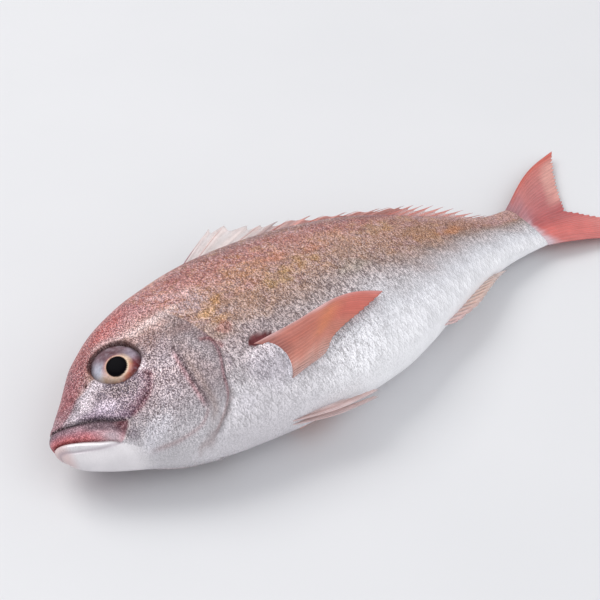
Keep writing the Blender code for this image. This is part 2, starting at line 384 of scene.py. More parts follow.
ahead = ring_places(0.0, GILL_PLACE)
behind = ring_places(GILL_PLACE + FOLD_SPREAD * MM, 1.0)
fold_along, fold_out = np.array(GILL_FOLD).T
spread = np.linspace(0.0, FOLD_SPREAD, len(GILL_FOLD) + 1)[:-1]
places = np.concatenate([ahead[:-1], GILL_PLACE + spread * MM, behind])
fold = slice(len(ahead) - 1, len(ahead) - 1 + len(GILL_FOLD))
RINGS = len(places) - 1
print(AROUND, "columns,", RINGS, "rings,", 2 * AROUND * (RINGS - 1), "triangles")

# %% The grid of skin points
turn = np.arange(AROUND) * 2 * math.pi / AROUND
turn = np.where(turn > math.pi, turn - 2 * math.pi, turn)
side = np.where(np.abs(turn) <= math.pi / 2 + 1e-6, 1.0, -1.0)[None, :]
power = np.where(turn > 0, BACK_POWER, BELLY_POWER)
share = (np.sign(turn) * np.abs(np.sin(turn)) ** (2 / power))[None, :]
place = places[:, None]
pull = np.where(place < GILL_PLACE, step(0, GILL_PLACE, place), 1 - step(0, GILL_REACH, place - GILL_PLACE))
gill_x = smooth(GILL_EDGE, share)
x = place + pull * (gill_x - GILL_PLACE)
gill_open = step(-0.12, -0.32, share) * step(-0.985, -0.90, share)  # the slit fades out towards its ends
x[fold] = gill_x + MM * (spread[:, None] * (1 - gill_open) + fold_along[:, None] * gill_open)
x = np.clip(x, 0.0, 1.0)
x[0], x[-1] = 0.0, 1.0
share = np.broadcast_to(share, x.shape)
side = np.broadcast_to(side, x.shape)
back, widest, belly = flank_lines(x)
height = widest + np.where(share > 0, back - widest, widest - belly) * share
print("skin grid", x.shape)

# %% [markdown]
# ## Lines and ovals on the flank
#
# The bones, lips and folds of the head are drawn on the flank as seen from the side: a line is a smooth curve
# through a few places, and every skin point knows how far it lies from the line and on which side. An oval gives
# how far out from its middle a point lies. Reliefs and colours both use them.

# %% Helpers for marks on the skin
def from_line(points, pieces=10):
    """(mm from a smooth line through points, positive on its left; how far along it, 0 to 1)."""
    knots = np.array(points, float) / MM
    t = np.linspace(0, len(knots) - 1, pieces * (len(knots) - 1) + 1)
    line = np.stack([smooth(list(enumerate(column)), t) for column in knots.T], -1)
    best = np.full(x.shape, 1e9)
    along = np.zeros(x.shape)
    for k, (start, way) in enumerate(zip(line, np.diff(line, axis=0))):
        dx, dh = x / MM - start[0], height / MM - start[1]
        t = np.clip((dx * way[0] + dh * way[1]) / (way @ way), 0.0, 1.0)
        dx, dh = dx - t * way[0], dh - t * way[1]
        far = np.hypot(dx, dh)
        closer = far < np.abs(best)
        best = np.where(closer, np.where(way[0] * dh - way[1] * dx < 0, -far, far), best)
        along = np.where(closer, (k + t) / (len(line) - 1), along)
    return best, along


def oval(middle, half, tilt=0.0, at=None):
    """Distance from an oval's middle, 1 on its edge, at the skin's places; tilt degrees lift its rear end."""
    place_x, place_h = (x, height) if at is None else at
    dx, dh = place_x - middle[0], place_h - middle[1]
    c, s = math.cos(math.radians(tilt)), math.sin(math.radians(tilt))
    return np.hypot((dx * c + dh * s) / half[0], (dh * c - dx * s) / half[1])


def hump(distance, width):
    """1 at distance 0, falling off smoothly over width."""
    return np.exp(-((distance / width) ** 2))


def waves(x, y, size, seed):
    """Soft unevenness, from about -1 to 1, in patches about size across."""
    random = np.random.default_rng(seed)
    total = 0.0
    for _ in range(8):
        way, phase = random.uniform(0, 2 * math.pi, 2)
        pitch = 2 * size * random.uniform(0.6, 1.6)
        total = total + np.sin((x * math.cos(way) + y * math.sin(way)) * 2 * math.pi / pitch + phase)
    return total / 4


lip_top, lip_top_t = from_line([
    (0.0, 0.012), (0.010, 0.003), (0.020, -0.006), (0.037, -0.017), (0.053, -0.027), (0.072, -0.040),
    (0.088, -0.055), (0.108, -0.070),
])
slit, slit_t = from_line([
    (-0.004, -0.018), (0.003, -0.024), (0.020, -0.039), (0.039, -0.055), (0.058, -0.071), (0.072, -0.081),
    (0.080, -0.089),
])
lip_end, lip_end_t = from_line([(0.109, -0.068), (0.104, -0.078), (0.095, -0.086), (0.086, -0.091)])
chin_crease, _ = from_line([
    (0.002, -0.038), (0.019, -0.057), (0.039, -0.071), (0.058, -0.082), (0.083, -0.092),
])
swelling, swelling_t = from_line([
    (0.173, -0.020), (0.170, -0.033), (0.158, -0.049), (0.136, -0.063), (0.111, -0.067),
])
cheek, cheek_t = from_line([
    (0.226, -0.008), (0.220, -0.052), (0.218, -0.093), (0.217, -0.122), (0.209, -0.134), (0.192, -0.142),
    (0.158, -0.140), (0.131, -0.132), (0.105, -0.123),
])
ORBIT = (0.1425, 0.0345), (0.0375, 0.0435), 20.0  # the eye socket's middle, its half size and its tilt
SOCKET_DEPTH = 3.4  # mm
orbit = oval(*ORBIT)
nostril = oval((0.087, 0.031), (0.0032, 0.0055), -25.0)
small_nostril = oval((0.078, 0.037), (0.0018, 0.0026), 0.0)
lobe = oval((0.336, -0.115), (0.034, 0.040), 0.0)
pit, pit_t = from_line([(0.327, -0.073), (0.348, -0.066), (0.374, -0.071)])
pit_half = 0.5 + 1.9 * np.sin(math.pi * pit_t ** 0.8)  # mm, how wide the armpit is
print("mouth slit and lips, cheek plate, orbit, nostrils, shoulder lobe and armpit are laid out")

# %% [markdown]
# ## Relief of the head
#
# A sea bream's head is hard: a cheek plate and a gill cover with free edges, a swelling under the eye that
# overlaps the upper jaw, and fleshy lips. Sculpting would need a brush. Here each form is a height in mm over the
# smooth skin, a hump or a step across its line, and their sum moves the points outwards. The eye's socket, the
# nostrils and the armpit behind the pectoral fin's root go inwards.

# %% Heights over the smooth skin, in mm
ahead_of_gill = gill_x - x
gill_plate = 0.9 * (1 - step(0.0, 0.085, ahead_of_gill)) * gill_open * (ahead_of_gill >= -1e-9)
gill_plate[fold] = fold_out[:, None] * gill_open[0]
cheek_plate = 0.6 * (1 - step(0.0, 12.0, -cheek)) * (cheek < 0) * step(0.15, -0.2, share)
cheek_plate += 0.6 * (1 - step(0.0, 1.2, cheek)) * (cheek >= 0) * step(0.15, -0.2, share)
cheek_plate *= step(1.0, 0.8, cheek_t) * step(0.0, 0.1, cheek_t)
on_lip = step(0.0, 0.5, -lip_top) * step(0.0, 0.4, slit) * step(0.0, 0.5, -lip_end) * (x < 0.115)
across_lip = np.clip(slit / np.maximum(slit - lip_top, 1e-3), 0.0, 1.0)
relief = gill_plate + cheek_plate
relief += 0.22 * hump(cheek + 1.1, 1.0) * step(0.5, 0.3, cheek_t)
relief -= 0.2 * hump(cheek - 0.9, 0.9) * step(0.6, 0.4, cheek_t)
relief += 0.75 * on_lip * np.sin(math.pi * across_lip) ** 0.7
relief += 0.6 * hump(lip_top - 1.3, 1.8) * step(0.0, 0.15, lip_top_t) * (lip_top > 0) * step(1.0, 0.93, lip_top_t)
relief -= 0.8 * hump(lip_top + 0.2, 0.5) * step(1.0, 0.95, lip_top_t)
relief -= (1.2 - 0.6 * step(0.4, 0.8, slit_t)) * hump(slit, 0.4) * step(1.0, 0.9, slit_t)
relief += 0.7 * hump(slit + 1.7, 1.2) * (slit < 0) * step(1.0, 0.8, slit_t) - 0.3 * hump(chin_crease, 0.5)
relief -= 0.7 * hump(lip_end - 0.5, 0.5) * step(1.0, 0.8, lip_end_t)
relief += 0.45 * hump(swelling + 3.2, 3.2) * (orbit > 1) - 0.18 * hump(swelling - 0.2, 0.9)
inside = step(1.05, 0.95, orbit)
relief = relief * (1 - inside) - SOCKET_DEPTH * inside
brow = step(0.0, 0.03, height - 0.034)
relief += (0.25 + 0.45 * brow) * hump(orbit - 1.12, 0.08) * (1 - inside)
relief -= 1.6 * step(1.0, 0.3, nostril) + 0.9 * step(1.0, 0.3, small_nostril)
relief += 0.35 * hump(nostril - 1.5, 0.4)
relief += 1.3 * step(1.0, 0.2, lobe) + 0.9 * step(1.05, 0.90, lobe) * step(0.342, 0.356, x)
relief -= 1.6 * step(1.3, 0.5, np.abs(pit) / pit_half) * step(0.0, 0.2, pit_t) * step(1.0, 0.85, pit_t)
relief += 0.10 * waves(x / MM, height / MM, 9.0, 3) * step(0.03, 0.1, x) * step(1.0, 1.2, orbit)
print("relief from", round(relief.min(), 2), "to", round(relief.max(), 2), "mm")

# %% [markdown]
# ## Making the mesh
#
# create_uvsphere makes the ball. Its points are read as arrays, each finds its ring and its column in the grid, and
# takes its place from there. What the finishes need later, such as the colours, is stored on the points too.

# %% The body's mesh
def points_of(mesh):
    co = np.empty(len(mesh.vertices) * 3, np.float32)
    mesh.vertices.foreach_get("co", co)
    return co.reshape(-1, 3)


def grid_slots(mesh, rings, columns):
    """The ring and the column of every vertex of a ball, counted from its first pole."""
    co = points_of(mesh)
    ring = np.rint(np.arccos(np.clip(co[:, 2], -1, 1)) / math.pi * rings).astype(int)
    column = np.rint(np.arctan2(co[:, 1], co[:, 0]) / (2 * math.pi) * columns).astype(int) % columns
    return ring, column


def set_points(mesh, points):
    """Moves the vertices, and turns the faces outwards again."""
    mesh.vertices.foreach_set("co", points.astype(np.float32).ravel())
    mesh.update()
    bm = bmesh.new()
    bm.from_mesh(mesh)
    bmesh.ops.recalc_face_normals(bm, faces=bm.faces)
    bm.to_mesh(mesh)
    bm.free()


def store(mesh, name, *parts):
    """Stores a number, a vector or a colour on every vertex, made up of parts."""
    values = np.concatenate([part.reshape(len(mesh.vertices), -1) for part in parts], -1)
    kind, key = {1: ("FLOAT", "value"), 3: ("FLOAT_VECTOR", "vector"), 4: ("FLOAT_COLOR", "color")}[values.shape[-1]]
    mesh.attributes.new(name, kind, "POINT").data.foreach_set(key, values.astype(np.float32).ravel())


def finish_mesh(bm, name):
    """Turns the faces outwards and keeps the mesh, smooth."""
    bmesh.ops.recalc_face_normals(bm, faces=bm.faces)
    mesh = bpy.data.meshes.new(name)
    bm.to_mesh(mesh)
    bm.free()
    mesh.shade_smooth()
    return mesh


def add_piece(name, mesh, finish, slot, *nodes):
    made = bpy.data.objects.new(name, mesh)
    mesh.materials.append(finish.material)
    bpy.context.scene.collection.objects.link(made)
    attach(made, "root")
    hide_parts(*nodes)


skin_points = skin(x, share, side) + outward(x, share, side) * relief[..., None] * MILLIMETRE
skin_points[..., 2] = np.maximum(skin_points[..., 2], 0.0)
skin_points[0] = skin_points[0].mean(0)
skin_points[-1] = skin_points[-1].mean(0)
bm = bmesh.new()
bmesh.ops.create_uvsphere(bm, u_segments=AROUND, v_segments=RINGS, radius=1.0)
body_mesh = finish_mesh(bm, "fish body")
slots = grid_slots(body_mesh, RINGS, AROUND)
set_points(body_mesh, skin_points[slots])
print(len(body_mesh.vertices), "vertices")

# %% [markdown]
# ## The colours of the skin
#
# A sea bream is white below, silver on the flank and rose on the back, where old gold shows through in patches. A
# painter lays such colours on in washes, and so does this step: each wash is one colour with a soft mask, laid over
# what is already there. The points of the mesh are close enough to hold the washes; all that is finer, such as the
# scales, comes from the material.

# %% Washes of colour over the whole body
def gradient(stops, value):
    """Colour at value on a smooth run of (value, colour) stops."""
    return np.stack([smooth([(s, tint(*colour)[i]) for s, colour in stops], value) for i in range(3)], -1)


def lay(mask, colour):
    """Lays a wash over the paint; colour is one (red, green, blue), or the colours of all points."""
    global paint
    mask = np.clip(mask, 0.0, 1.0)[..., None]
    paint = paint * (1 - mask) + (np.array(tint(*colour)) if isinstance(colour, tuple) else colour) * mask


# Where the silver flank turns to rose: (distance from the snout, share of the half depth)
BORDER = [
    (0.0, -0.10), (0.20, -0.12), (0.30, -0.28), (0.45, -0.30), (0.52, -0.22), (0.60, -0.18), (0.66, -0.30),
    (0.80, -0.26), (0.90, -0.08), (1.0, 0.05),
]
drift = waves(x / MM, height / MM, 7.0, 11)
fine_drift = waves(x / MM, height / MM, 2.6, 12)
border = smooth(BORDER, x)
above = share - border + 0.035 * drift + 0.02 * fine_drift
depth = np.where(above > 0, above / (1 - border), above / (1 + border))
paint = gradient([
    (-1.0, (247, 247, 250)), (-0.8, (243, 243, 247)), (-0.6, (235, 235, 240)),
    (-0.4, (218, 215, 219)), (-0.22, (200, 190, 191)), (-0.06, (178, 160, 155)),
    (0.08, (164, 134, 120)), (0.22, (168, 130, 111)), (0.34, (177, 133, 117)),
    (0.46, (176, 116, 103)), (0.58, (164, 84, 74)), (0.7, (152, 62, 56)), (0.84, (146, 62, 58)),
    (1.0, (148, 76, 76)),
], depth)
lay(0.8 * step(0.62, 0.78, x) * step(0.05, 0.2, depth) * step(0.8, 0.6, depth), (153, 108, 89))
lay(0.75 * step(0.86, 0.94, x) * step(0.0, 0.3, depth), (184, 142, 140))
front = step(0.52, 0.30, x) * step(0.05, -0.1, depth)
lay(0.75 * front * step(-1.0, -0.2, depth), (160, 142, 144))
lay(0.65 * front * step(-0.2, -1.0, depth), (196, 190, 196))
# Painted shadow: a dark red band along the back where the folded dorsal fin shades it.
lay(0.85 * step(0.34, 0.42, x) * step(0.80, 0.62, x) * step(0.56, 0.74, share), (112, 38, 36))
lay(0.6 * step(0.77, 0.84, x) * step(0.30, 0.50, share), (186, 142, 132))
print("rose back and silver flank")

# %% Patches of old gold and rust on the back
# Middle and half size in body lengths, how strong, and the colour
PATCHES = [
    (0.300, 0.058, 0.030, 0.028, 0.75, (180, 153, 155)), (0.306, 0.088, 0.018, 0.012, 0.6, (205, 165, 162)),
    (0.334, 0.039, 0.022, 0.011, 0.75, (184, 132, 66)), (0.303, 0.020, 0.020, 0.009, 0.7, (196, 148, 84)),
    (0.321, -0.003, 0.020, 0.008, 0.7, (180, 130, 74)), (0.310, -0.024, 0.018, 0.016, 0.75, (160, 104, 92)),
    (0.345, 0.010, 0.022, 0.014, 0.5, (170, 146, 140)), (0.285, 0.112, 0.014, 0.008, 0.6, (186, 128, 126)),
    (0.410, 0.075, 0.050, 0.022, 0.5, (188, 126, 68)), (0.445, 0.028, 0.036, 0.020, 0.55, (176, 140, 80)),
    (0.400, 0.040, 0.030, 0.014, 0.45, (170, 104, 84)), (0.500, 0.045, 0.040, 0.020, 0.5, (182, 136, 68)),
    (0.475, 0.080, 0.030, 0.014, 0.6, (178, 98, 56)), (0.545, 0.075, 0.034, 0.016, 0.55, (172, 94, 58)),
    (0.600, 0.105, 0.050, 0.018, 0.45, (172, 118, 78)), (0.690, 0.085, 0.050, 0.020, 0.55, (164, 124, 78)),
    (0.760, 0.060, 0.050, 0.018, 0.5, (160, 116, 78)), (0.826, 0.040, 0.034, 0.012, 0.65, (178, 112, 60)),
    (0.870, 0.046, 0.030, 0.010, 0.4, (150, 104, 84)), (0.365, 0.120, 0.050, 0.020, 0.4, (178, 108, 96)),
    (0.580, 0.000, 0.040, 0.016, 0.35, (178, 168, 150)), (0.250, 0.100, 0.030, 0.018, 0.35, (176, 120, 112)),
]
for patch_x, patch_h, long, tall, strength, colour in PATCHES:
    ragged = oval((patch_x, patch_h), (long, tall), 8.0) + 0.25 * drift + 0.30 * fine_drift
    lay(1.2 * strength * step(1.2, 0.45, ragged), colour)
print(len(PATCHES), "patches")

# %% [markdown]
# The head has its own colours: a red forehead, silver cheeks, a lilac swelling under the eye, wine red creases, a
# rose upper lip and a white jaw. A pale band over the eye is a painted highlight along its bony ridge, and the ridge
# of the head is painted paler as sheen.

# %% The head's washes
def band(points, width):
    """A soft ragged band of that width in mm along a line."""
    return hump(from_line(points, 6)[0] + 0.6 * fine_drift, width)


on_head = step(0.5, -0.5, (x - gill_x) / MM)
low_head = on_head * step(0.30, -0.05, share + 0.08 * drift)
lay(low_head * step(0.0, 0.06, x), gradient([
    (-1.0, (208, 205, 209)), (-0.85, (194, 190, 195)), (-0.72, (176, 169, 174)), (-0.55, (154, 141, 146)),
    (-0.3, (146, 128, 133)), (0.0, (142, 122, 126)), (0.3, (160, 138, 138)),
], share))
gill_cover = low_head * step(0.0, 1.5, cheek) * step(0.19, 0.225, x)
lay(0.7 * gill_cover * step(-0.85, -0.4, share), (140, 124, 125))
lay(0.45 * hump(cheek - 2.8, 1.6) * step(0.65, 0.4, cheek_t) * step(0.0, 0.1, cheek_t), (140, 114, 104))
forehead = step(0.36, 0.62, share + 0.05 * drift) * step(0.36, 0.24, x)
lay(forehead, (166, 78, 74))
lay(0.7 * hump(x - 0.28, 0.06) * step(0.66, 0.80, share), (196, 124, 122))
# The line of the painted highlight along the bony ridge over the eye.
brow_ridge_highlight = [
    (0.140, 0.090), (0.152, 0.085), (0.171, 0.075), (0.195, 0.067), (0.222, 0.065), (0.248, 0.067), (0.268, 0.066),
]
streak = [(0.248, 0.119), (0.264, 0.115), (0.278, 0.103), (0.293, 0.086), (0.306, 0.090)]
brow_ridge_highlight_t = from_line(brow_ridge_highlight)[1]
# Middle and half size in body lengths, tilt, how strong, and the colour
DABS = [
    (0.168, 0.116, 0.050, 0.020, 30, 0.85, (184, 62, 50)), (0.225, 0.106, 0.030, 0.014, 5, 0.7, (196, 132, 130)),
    (0.120, 0.088, 0.034, 0.016, 52, 0.6, (138, 56, 52)), (0.205, 0.030, 0.019, 0.020, 0, 0.85, (118, 76, 68)),
    (0.188, 0.046, 0.016, 0.012, 0, 0.6, (172, 130, 126)), (0.225, 0.048, 0.020, 0.012, 0, 0.6, (192, 150, 140)),
    (0.240, 0.022, 0.020, 0.014, 0, 0.6, (148, 118, 112)), (0.264, 0.018, 0.016, 0.014, 0, 0.6, (138, 106, 104)),
    (0.284, 0.006, 0.014, 0.012, 0, 0.5, (172, 148, 138)), (0.204, -0.020, 0.018, 0.018, 0, 0.6, (164, 153, 160)),
    (0.228, -0.010, 0.016, 0.016, 0, 0.6, (120, 102, 104)), (0.262, -0.045, 0.013, 0.045, 8, 0.4, (150, 146, 152)),
    (0.136, -0.110, 0.034, 0.018, 25, 0.6, (216, 214, 222)), (0.273, -0.148, 0.020, 0.014, 0, 0.4, (214, 210, 218)),
    (0.180, -0.075, 0.018, 0.014, 0, 0.4, (186, 178, 186)),
]
for middle_x, middle_h, long, tall, tilt, strength, colour in DABS:
    ragged = oval((middle_x, middle_h), (long, tall), tilt) + 0.20 * fine_drift
    lay(strength * step(1.35, 0.35, ragged), colour)
# Painted sheen: the ridge along the top of the head is paler, where the light catches it.
lay(0.55 * step(0.84, 0.95, share + 0.03 * drift) * step(0.14, 0.20, x) * step(0.36, 0.30, x), (206, 156, 156))
# Painted highlight: a pale band along the bony ridge over the eye, stronger towards its rear.
lay(0.95 * band(brow_ridge_highlight, 2.2) * (0.55 + 0.45 * brow_ridge_highlight_t), (240, 216, 212))
lay(0.7 * band(streak, 1.7), (228, 190, 190))
lay(0.85 * hump(from_line([(0.266, 0.083), (0.283, 0.074)])[0], 0.8), (128, 50, 58))
under_eye = (swelling < 0.6) * (height < 0.02) * (lip_top > 0) * step(0.0, 0.02, x) * step(1.4, 0.0, swelling)
lay(0.9 * under_eye, (126, 110, 122))
lay(0.5 * under_eye * step(0.09, 0.12, x), (112, 90, 106))
lay(0.8 * under_eye * hump(swelling + 1.5, 2.2), (124, 86, 100))
lay(0.9 * step(1.3, 0.3, oval((0.168, 0.000), (0.012, 0.018), 25.0)), (240, 222, 228))
lay(0.8 * step(1.4, 0.4, oval((0.171, -0.023), (0.005, 0.010), 20.0) + 0.2 * fine_drift), (112, 60, 72))
pale = band([(0.030, -0.017), (0.046, -0.012), (0.064, -0.007), (0.078, 0.012), (0.098, 0.020)], 3.0)
lay(0.9 * pale * step(-0.4, 0.6, lip_top) * (height < 0.03), (222, 210, 218))
lay(0.9 * under_eye * step(1.35, 0.3, oval((0.126, -0.018), (0.030, 0.016), -28.0) + 0.15 * fine_drift), (80, 60, 68))
lay(0.6 * under_eye * step(1.3, 0.3, oval((0.091, -0.030), (0.022, 0.014), -30.0)), (202, 190, 208))
lay(0.7 * under_eye * step(1.3, 0.3, oval((0.066, -0.034), (0.022, 0.007), -38.0)), (84, 62, 74))
lay(0.6 * under_eye * hump(lip_top - 2.2, 2.4) * step(0.35, 0.6, lip_top_t), (122, 102, 126))
wine = hump(swelling - 0.3, 1.3) * step(1.0, 0.93, swelling_t)
lay(0.7 * wine * (0.55 + 0.45 * step(0.2, 0.6, swelling_t)), (112, 54, 66))
lay(0.85 * step(0.12, 0.07, x) * step(0.20, 0.38, share), (152, 80, 88))
lay(0.8 * step(0.045, 0.015, x) * (lip_top > 0), (170, 128, 138))
lay(0.45 * step(0.10, 0.16, x) * step(0.37, 0.29, x) * hump(share - 0.44, 0.15), (214, 160, 158))
print("forehead, cheeks and the swelling under the eye")

# %% Lips, jaw and creases
jaw = step(0.3, -0.3, slit) * step(0.115, 0.08, x + 0.2 * (height + 0.09))
lay(jaw * step(0.0, 0.002, x), gradient([
    (-1.0, (240, 236, 239)), (-0.7, (242, 238, 241)), (0.0, (248, 242, 244)),
], share))
lay(0.6 * jaw * step(0.020, 0.006, x), (238, 200, 196))
# Painted shade: grey along the chin's crease.
lay(0.5 * jaw * hump(chin_crease, 0.6), (176, 160, 172))
upper = step(0.2, -0.4, lip_top) * step(-0.2, 0.3, slit) * step(0.2, -0.3, lip_end) * (x < 0.12)
lay(upper, gradient([
    (0.0, (218, 116, 116)), (0.25, (198, 120, 128)), (0.5, (152, 108, 120)), (0.8, (120, 88, 100)),
    (1.0, (88, 64, 76)),
], across_lip + 0.06 * fine_drift))
lay(0.8 * upper * step(0.035, 0.060, x) * step(0.34, 0.56, across_lip), (76, 53, 64))
lay(0.85 * upper * hump(x - 0.076, 0.017) * step(0.60, 0.25, across_lip), (216, 198, 206))
lay(0.85 * upper * step(0.080, 0.100, x) * step(0.1, 0.5, across_lip), (112, 58, 66))
lay(0.8 * hump(lip_end - 0.1, 0.35) * step(1.0, 0.9, lip_end_t) * step(0.0, 0.1, lip_end_t), (236, 222, 222))
lay(0.55 * step(1.4, 0.4, oval((0.103, -0.092), (0.009, 0.012), 30.0)), (112, 98, 110))
# Painted shade: a dark line in the groove where the upper lip slides under the swelling.
lay(0.9 * hump(lip_top + 0.1, 0.5) * step(1.0, 0.95, lip_top_t), (58, 34, 44))
lay(0.9 * hump(slit - 0.15, 0.45) * step(0.75, 0.4, slit_t), (164, 62, 66))
# Painted shade in the mouth's slit.
lay(0.5 * hump(slit, 0.3) * step(0.4, 0.6, slit_t), (120, 84, 92))
# Painted light on the cheek plate: a pink highlight along its raised edge, and painted shade just outside that edge.
lay(0.75 * hump(cheek + 0.9, 0.9) * step(0.45, 0.3, cheek_t) * step(0.0, 0.06, cheek_t), (178, 130, 136))
lay(0.85 * hump(cheek - 0.7, 0.8) * step(0.5, 0.3, cheek_t) * step(0.0, 0.06, cheek_t), (104, 82, 86))
lay(0.4 * hump(cheek, 0.7) * step(0.35, 0.5, cheek_t) * step(1.0, 0.85, cheek_t), (168, 128, 128))
gill_mm = (x - gill_x) / MM
lay(0.8 * hump(gill_mm + 0.5, 0.7) * gill_open * step(-0.86, -0.7, share), (118, 84, 100))
lay(0.4 * hump(gill_mm + 0.5, 0.6) * gill_open, (166, 122, 120))
lay(0.8 * hump(from_line([(0.268, -0.022), (0.282, -0.032), (0.290, -0.050)])[0], 0.9), (134, 62, 66))
lay(0.8 * hump(from_line([(0.286, -0.070), (0.283, -0.086)])[0], 0.7), (92, 76, 92))
membrane = band([(0.262, -0.122), (0.246, -0.139), (0.226, -0.151), (0.204, -0.159), (0.180, -0.161)], 0.9)
lay(0.55 * membrane * (side > 0), (158, 140, 140))
# Painted shade in the deep gill fold, where the skin goes in under the gill cover's edge.
shaded_gill_fold = step(-0.3, -0.5, relief) * (np.abs(gill_mm) < 3.2) * gill_open
lay(0.5 * shaded_gill_fold, (110, 84, 92))
lay(0.5 * step(1.3, 0.5, lobe + 0.1 * fine_drift) * step(0.0, 0.8, -pit), (204, 198, 208))
lay(0.5 * step(1.3, 0.4, oval((0.318, -0.112), (0.022, 0.026), 0.0) + 0.2 * fine_drift), (170, 163, 171))
lay(0.45 * step(1.3, 0.4, oval((0.365, -0.128), (0.045, 0.020), 0.0) + 0.2 * fine_drift), (166, 160, 168))
lay(0.7 * hump(lobe - 0.90, 0.12) * step(0.345, 0.36, x), (228, 226, 236))
# Painted shade in the armpit behind the pectoral's root.
lay(0.95 * step(1.2, 0.8, np.abs(pit) / pit_half + 0.1 * fine_drift) * step(1.0, 0.9, pit_t), (112, 46, 50))
# Painted shade inside the two nostrils.
lay(step(1.1, 0.6, nostril) + step(1.1, 0.6, small_nostril), (84, 26, 34))
lay(0.5 * hump(nostril - 1.6, 0.4), (196, 150, 160))
# Painted shade: the socket round the eye is dark, and a dark rim round it is darkest at the top, under the brow.
lay(inside, (70, 42, 48))
lay(0.95 * hump(orbit - 1.04, 0.06) * (0.3 + 0.7 * brow), (66, 32, 34))
print("lips and creases")

# %% [markdown]
# ## Scales
#
# A sea bream's scales lie in rows like roof tiles. Every point of the skin gets two running numbers, the scale
# along the body and the row across it, and a material can then draw each scale's free rear edge. The scales get
# smaller towards the tail, and the muzzle, the lips and the jaw have none.

# %% Running numbers of the scales, and where each finish goes
SCALE_PITCH = [(0.0, 2.6), (0.3, 3.1), (0.55, 3.1), (1.0, 2.1)]  # mm from one scale to the next, along a row
ROW_PITCH = [(0.0, 5.6), (0.3, 7.0), (0.55, 7.0), (1.0, 4.2)]  # mm between every second row
table = np.linspace(0.0, 1.0, 801)
counted = np.concatenate([[0.0], np.cumsum(1 / smooth(SCALE_PITCH, (table[1:] + table[:-1]) / 2)) / 800 / MM])
scale_number = np.interp(x, table, counted) - 0.19 * height / MM * on_head
angle = np.arcsin(np.clip(np.abs(share) ** (power[None, :] / 2), 0, 1))
wide, tall = blunt(HALF_WIDTH, x), np.where(share > 0, back - widest, widest - belly)
bent = sum(np.hypot(wide * np.sin(angle * j), tall * np.cos(angle * j)) for j in (0.1, 0.3, 0.5, 0.7, 0.9)) / 5
girth = angle * bent * np.sign(share) / MM
row_number = girth / smooth(ROW_PITCH, x) + np.where(side > 0, 40.25, 90.25)
bare = np.maximum.reduce([
    step(0.17, 0.10, x) * step(-0.02, 0.02, share + 0.4), step(0.12, 0.09, x), jaw, upper, under_eye,
    step(1.5, 1.2, orbit), step(0.25, 0.18, x) * step(0.35, 0.5, share),
])
scaled = 1 - 0.85 * bare
scaled *= (0.45 + 0.55 * step(0.0, 3.0, gill_mm)) * step(-1.0, -0.93, share) * step(1.0, 0.95, share)
sparkle = smooth([(-1.0, 0.1), (-0.8, 0.25), (-0.5, 0.6), (0.0, 0.95), (0.3, 1.15), (0.6, 1.3), (1.0, 1.2)], share)
sparkle = sparkle * (1 - 0.5 * step(0.62, 0.85, x)) * (1 - 0.6 * step(0.45, 0.6, x) * step(-0.2, -0.7, share))
sparkle = sparkle * (1 - low_head) + low_head * smooth([(-1.0, 0.1), (-0.8, 0.35), (-0.55, 0.85), (0.3, 1.0)], share)
sparkle = sparkle * (1 - 0.45 * gill_cover) * (1 - 0.15 * forehead) * (1 - 0.5 * upper) * (1 - 0.92 * jaw)
sparkle = sparkle * (1 - 0.3 * step(0.12, 0.05, x)) * (1 - 0.8 * hump(orbit - 1.04, 0.09))
sparkle = sparkle * (1 - step(1.5, 0.9, np.abs(pit) / pit_half) * step(1.0, 0.9, pit_t))
sparkle = np.clip(sparkle, 0.0, 1.3)
mottled = step(-0.1, 0.2, depth) * (1 - on_head) * step(1.0, 0.8, share)
silver = step(0.25, -0.15, depth) * step(-1.0, -0.55, share)
# Hollows that get painted shade: the lip's groove, the mouth's slit, the gill fold and the eye socket.
shaded_hollow = np.clip(hump(lip_top + 0.1, 0.6) + hump(slit, 0.5) + shaded_gill_fold + inside, 0.0, 1.0)


store(body_mesh, "paint", paint[slots], np.ones_like(x)[slots])
store(body_mesh, "scales", scale_number[slots], row_number[slots], scaled[slots])
store(body_mesh, "mottle", mottled[slots])
store(body_mesh, "shine", sparkle[slots], silver[slots], shaded_hollow[slots])
print(round(float(counted[-1])), "scales from snout to tail")

# %% [markdown]
# ## The skin's finish
#
# Wet fish skin is a thin clear slime over scales that are partly mirrors. So the shader has a coat for the slime, a
# little metal for the silver, and a colour that plays around the painted wash. Each scale is a touch lighter or
# darker than the next, with a painted shadow line under its free edge and a painted highlight band before it. Two
# honeycombs break the colour up further, flecks along the scale rows and finer motes everywhere: some cells are paler
# than the wash, as painted glints, some are the wash made darker, and on the back a few turn to gold or lilac. The
# hollows of the head, its creases, the gill fold and the eye socket, are painted darker as shade.

# %% Skin material
skin_finish = Finish("fresh fish skin", Coat_Weight=0.10, Coat_Roughness=0.25, IOR=1.38, Specular_IOR_Level=0.3)
f = skin_finish
wash = f.attribute("paint", 0)
column, row, scaly = f.parts(f.attribute("scales", 1))
speckle, mirror, hollow_shade = f.parts(f.attribute("shine", 1))
mottle = f.attribute("mottle", 2)
where = f.node("TexCoord", output="Object")
wobble = f.noise(where, 260.0, 2.0)
column = column + (wobble - 0.5) * 0.45
ARC = 1.38  # radius of a scale's edge, in scale pitches
ROW_LENGTH = 7.0 / 3.1  # every second row's pitch, in scale pitches


def scale_row(column, row):
    """(distance to the free edge ahead, place from the scale's middle, the scale's two numbers)."""
    off = (row.fraction() - 0.5) * ROW_LENGTH
    reach = (ARC * ARC - off * off).root()
    edge = (reach - column).fraction()
    return edge, reach - edge, (column - reach).floor(), row.floor()


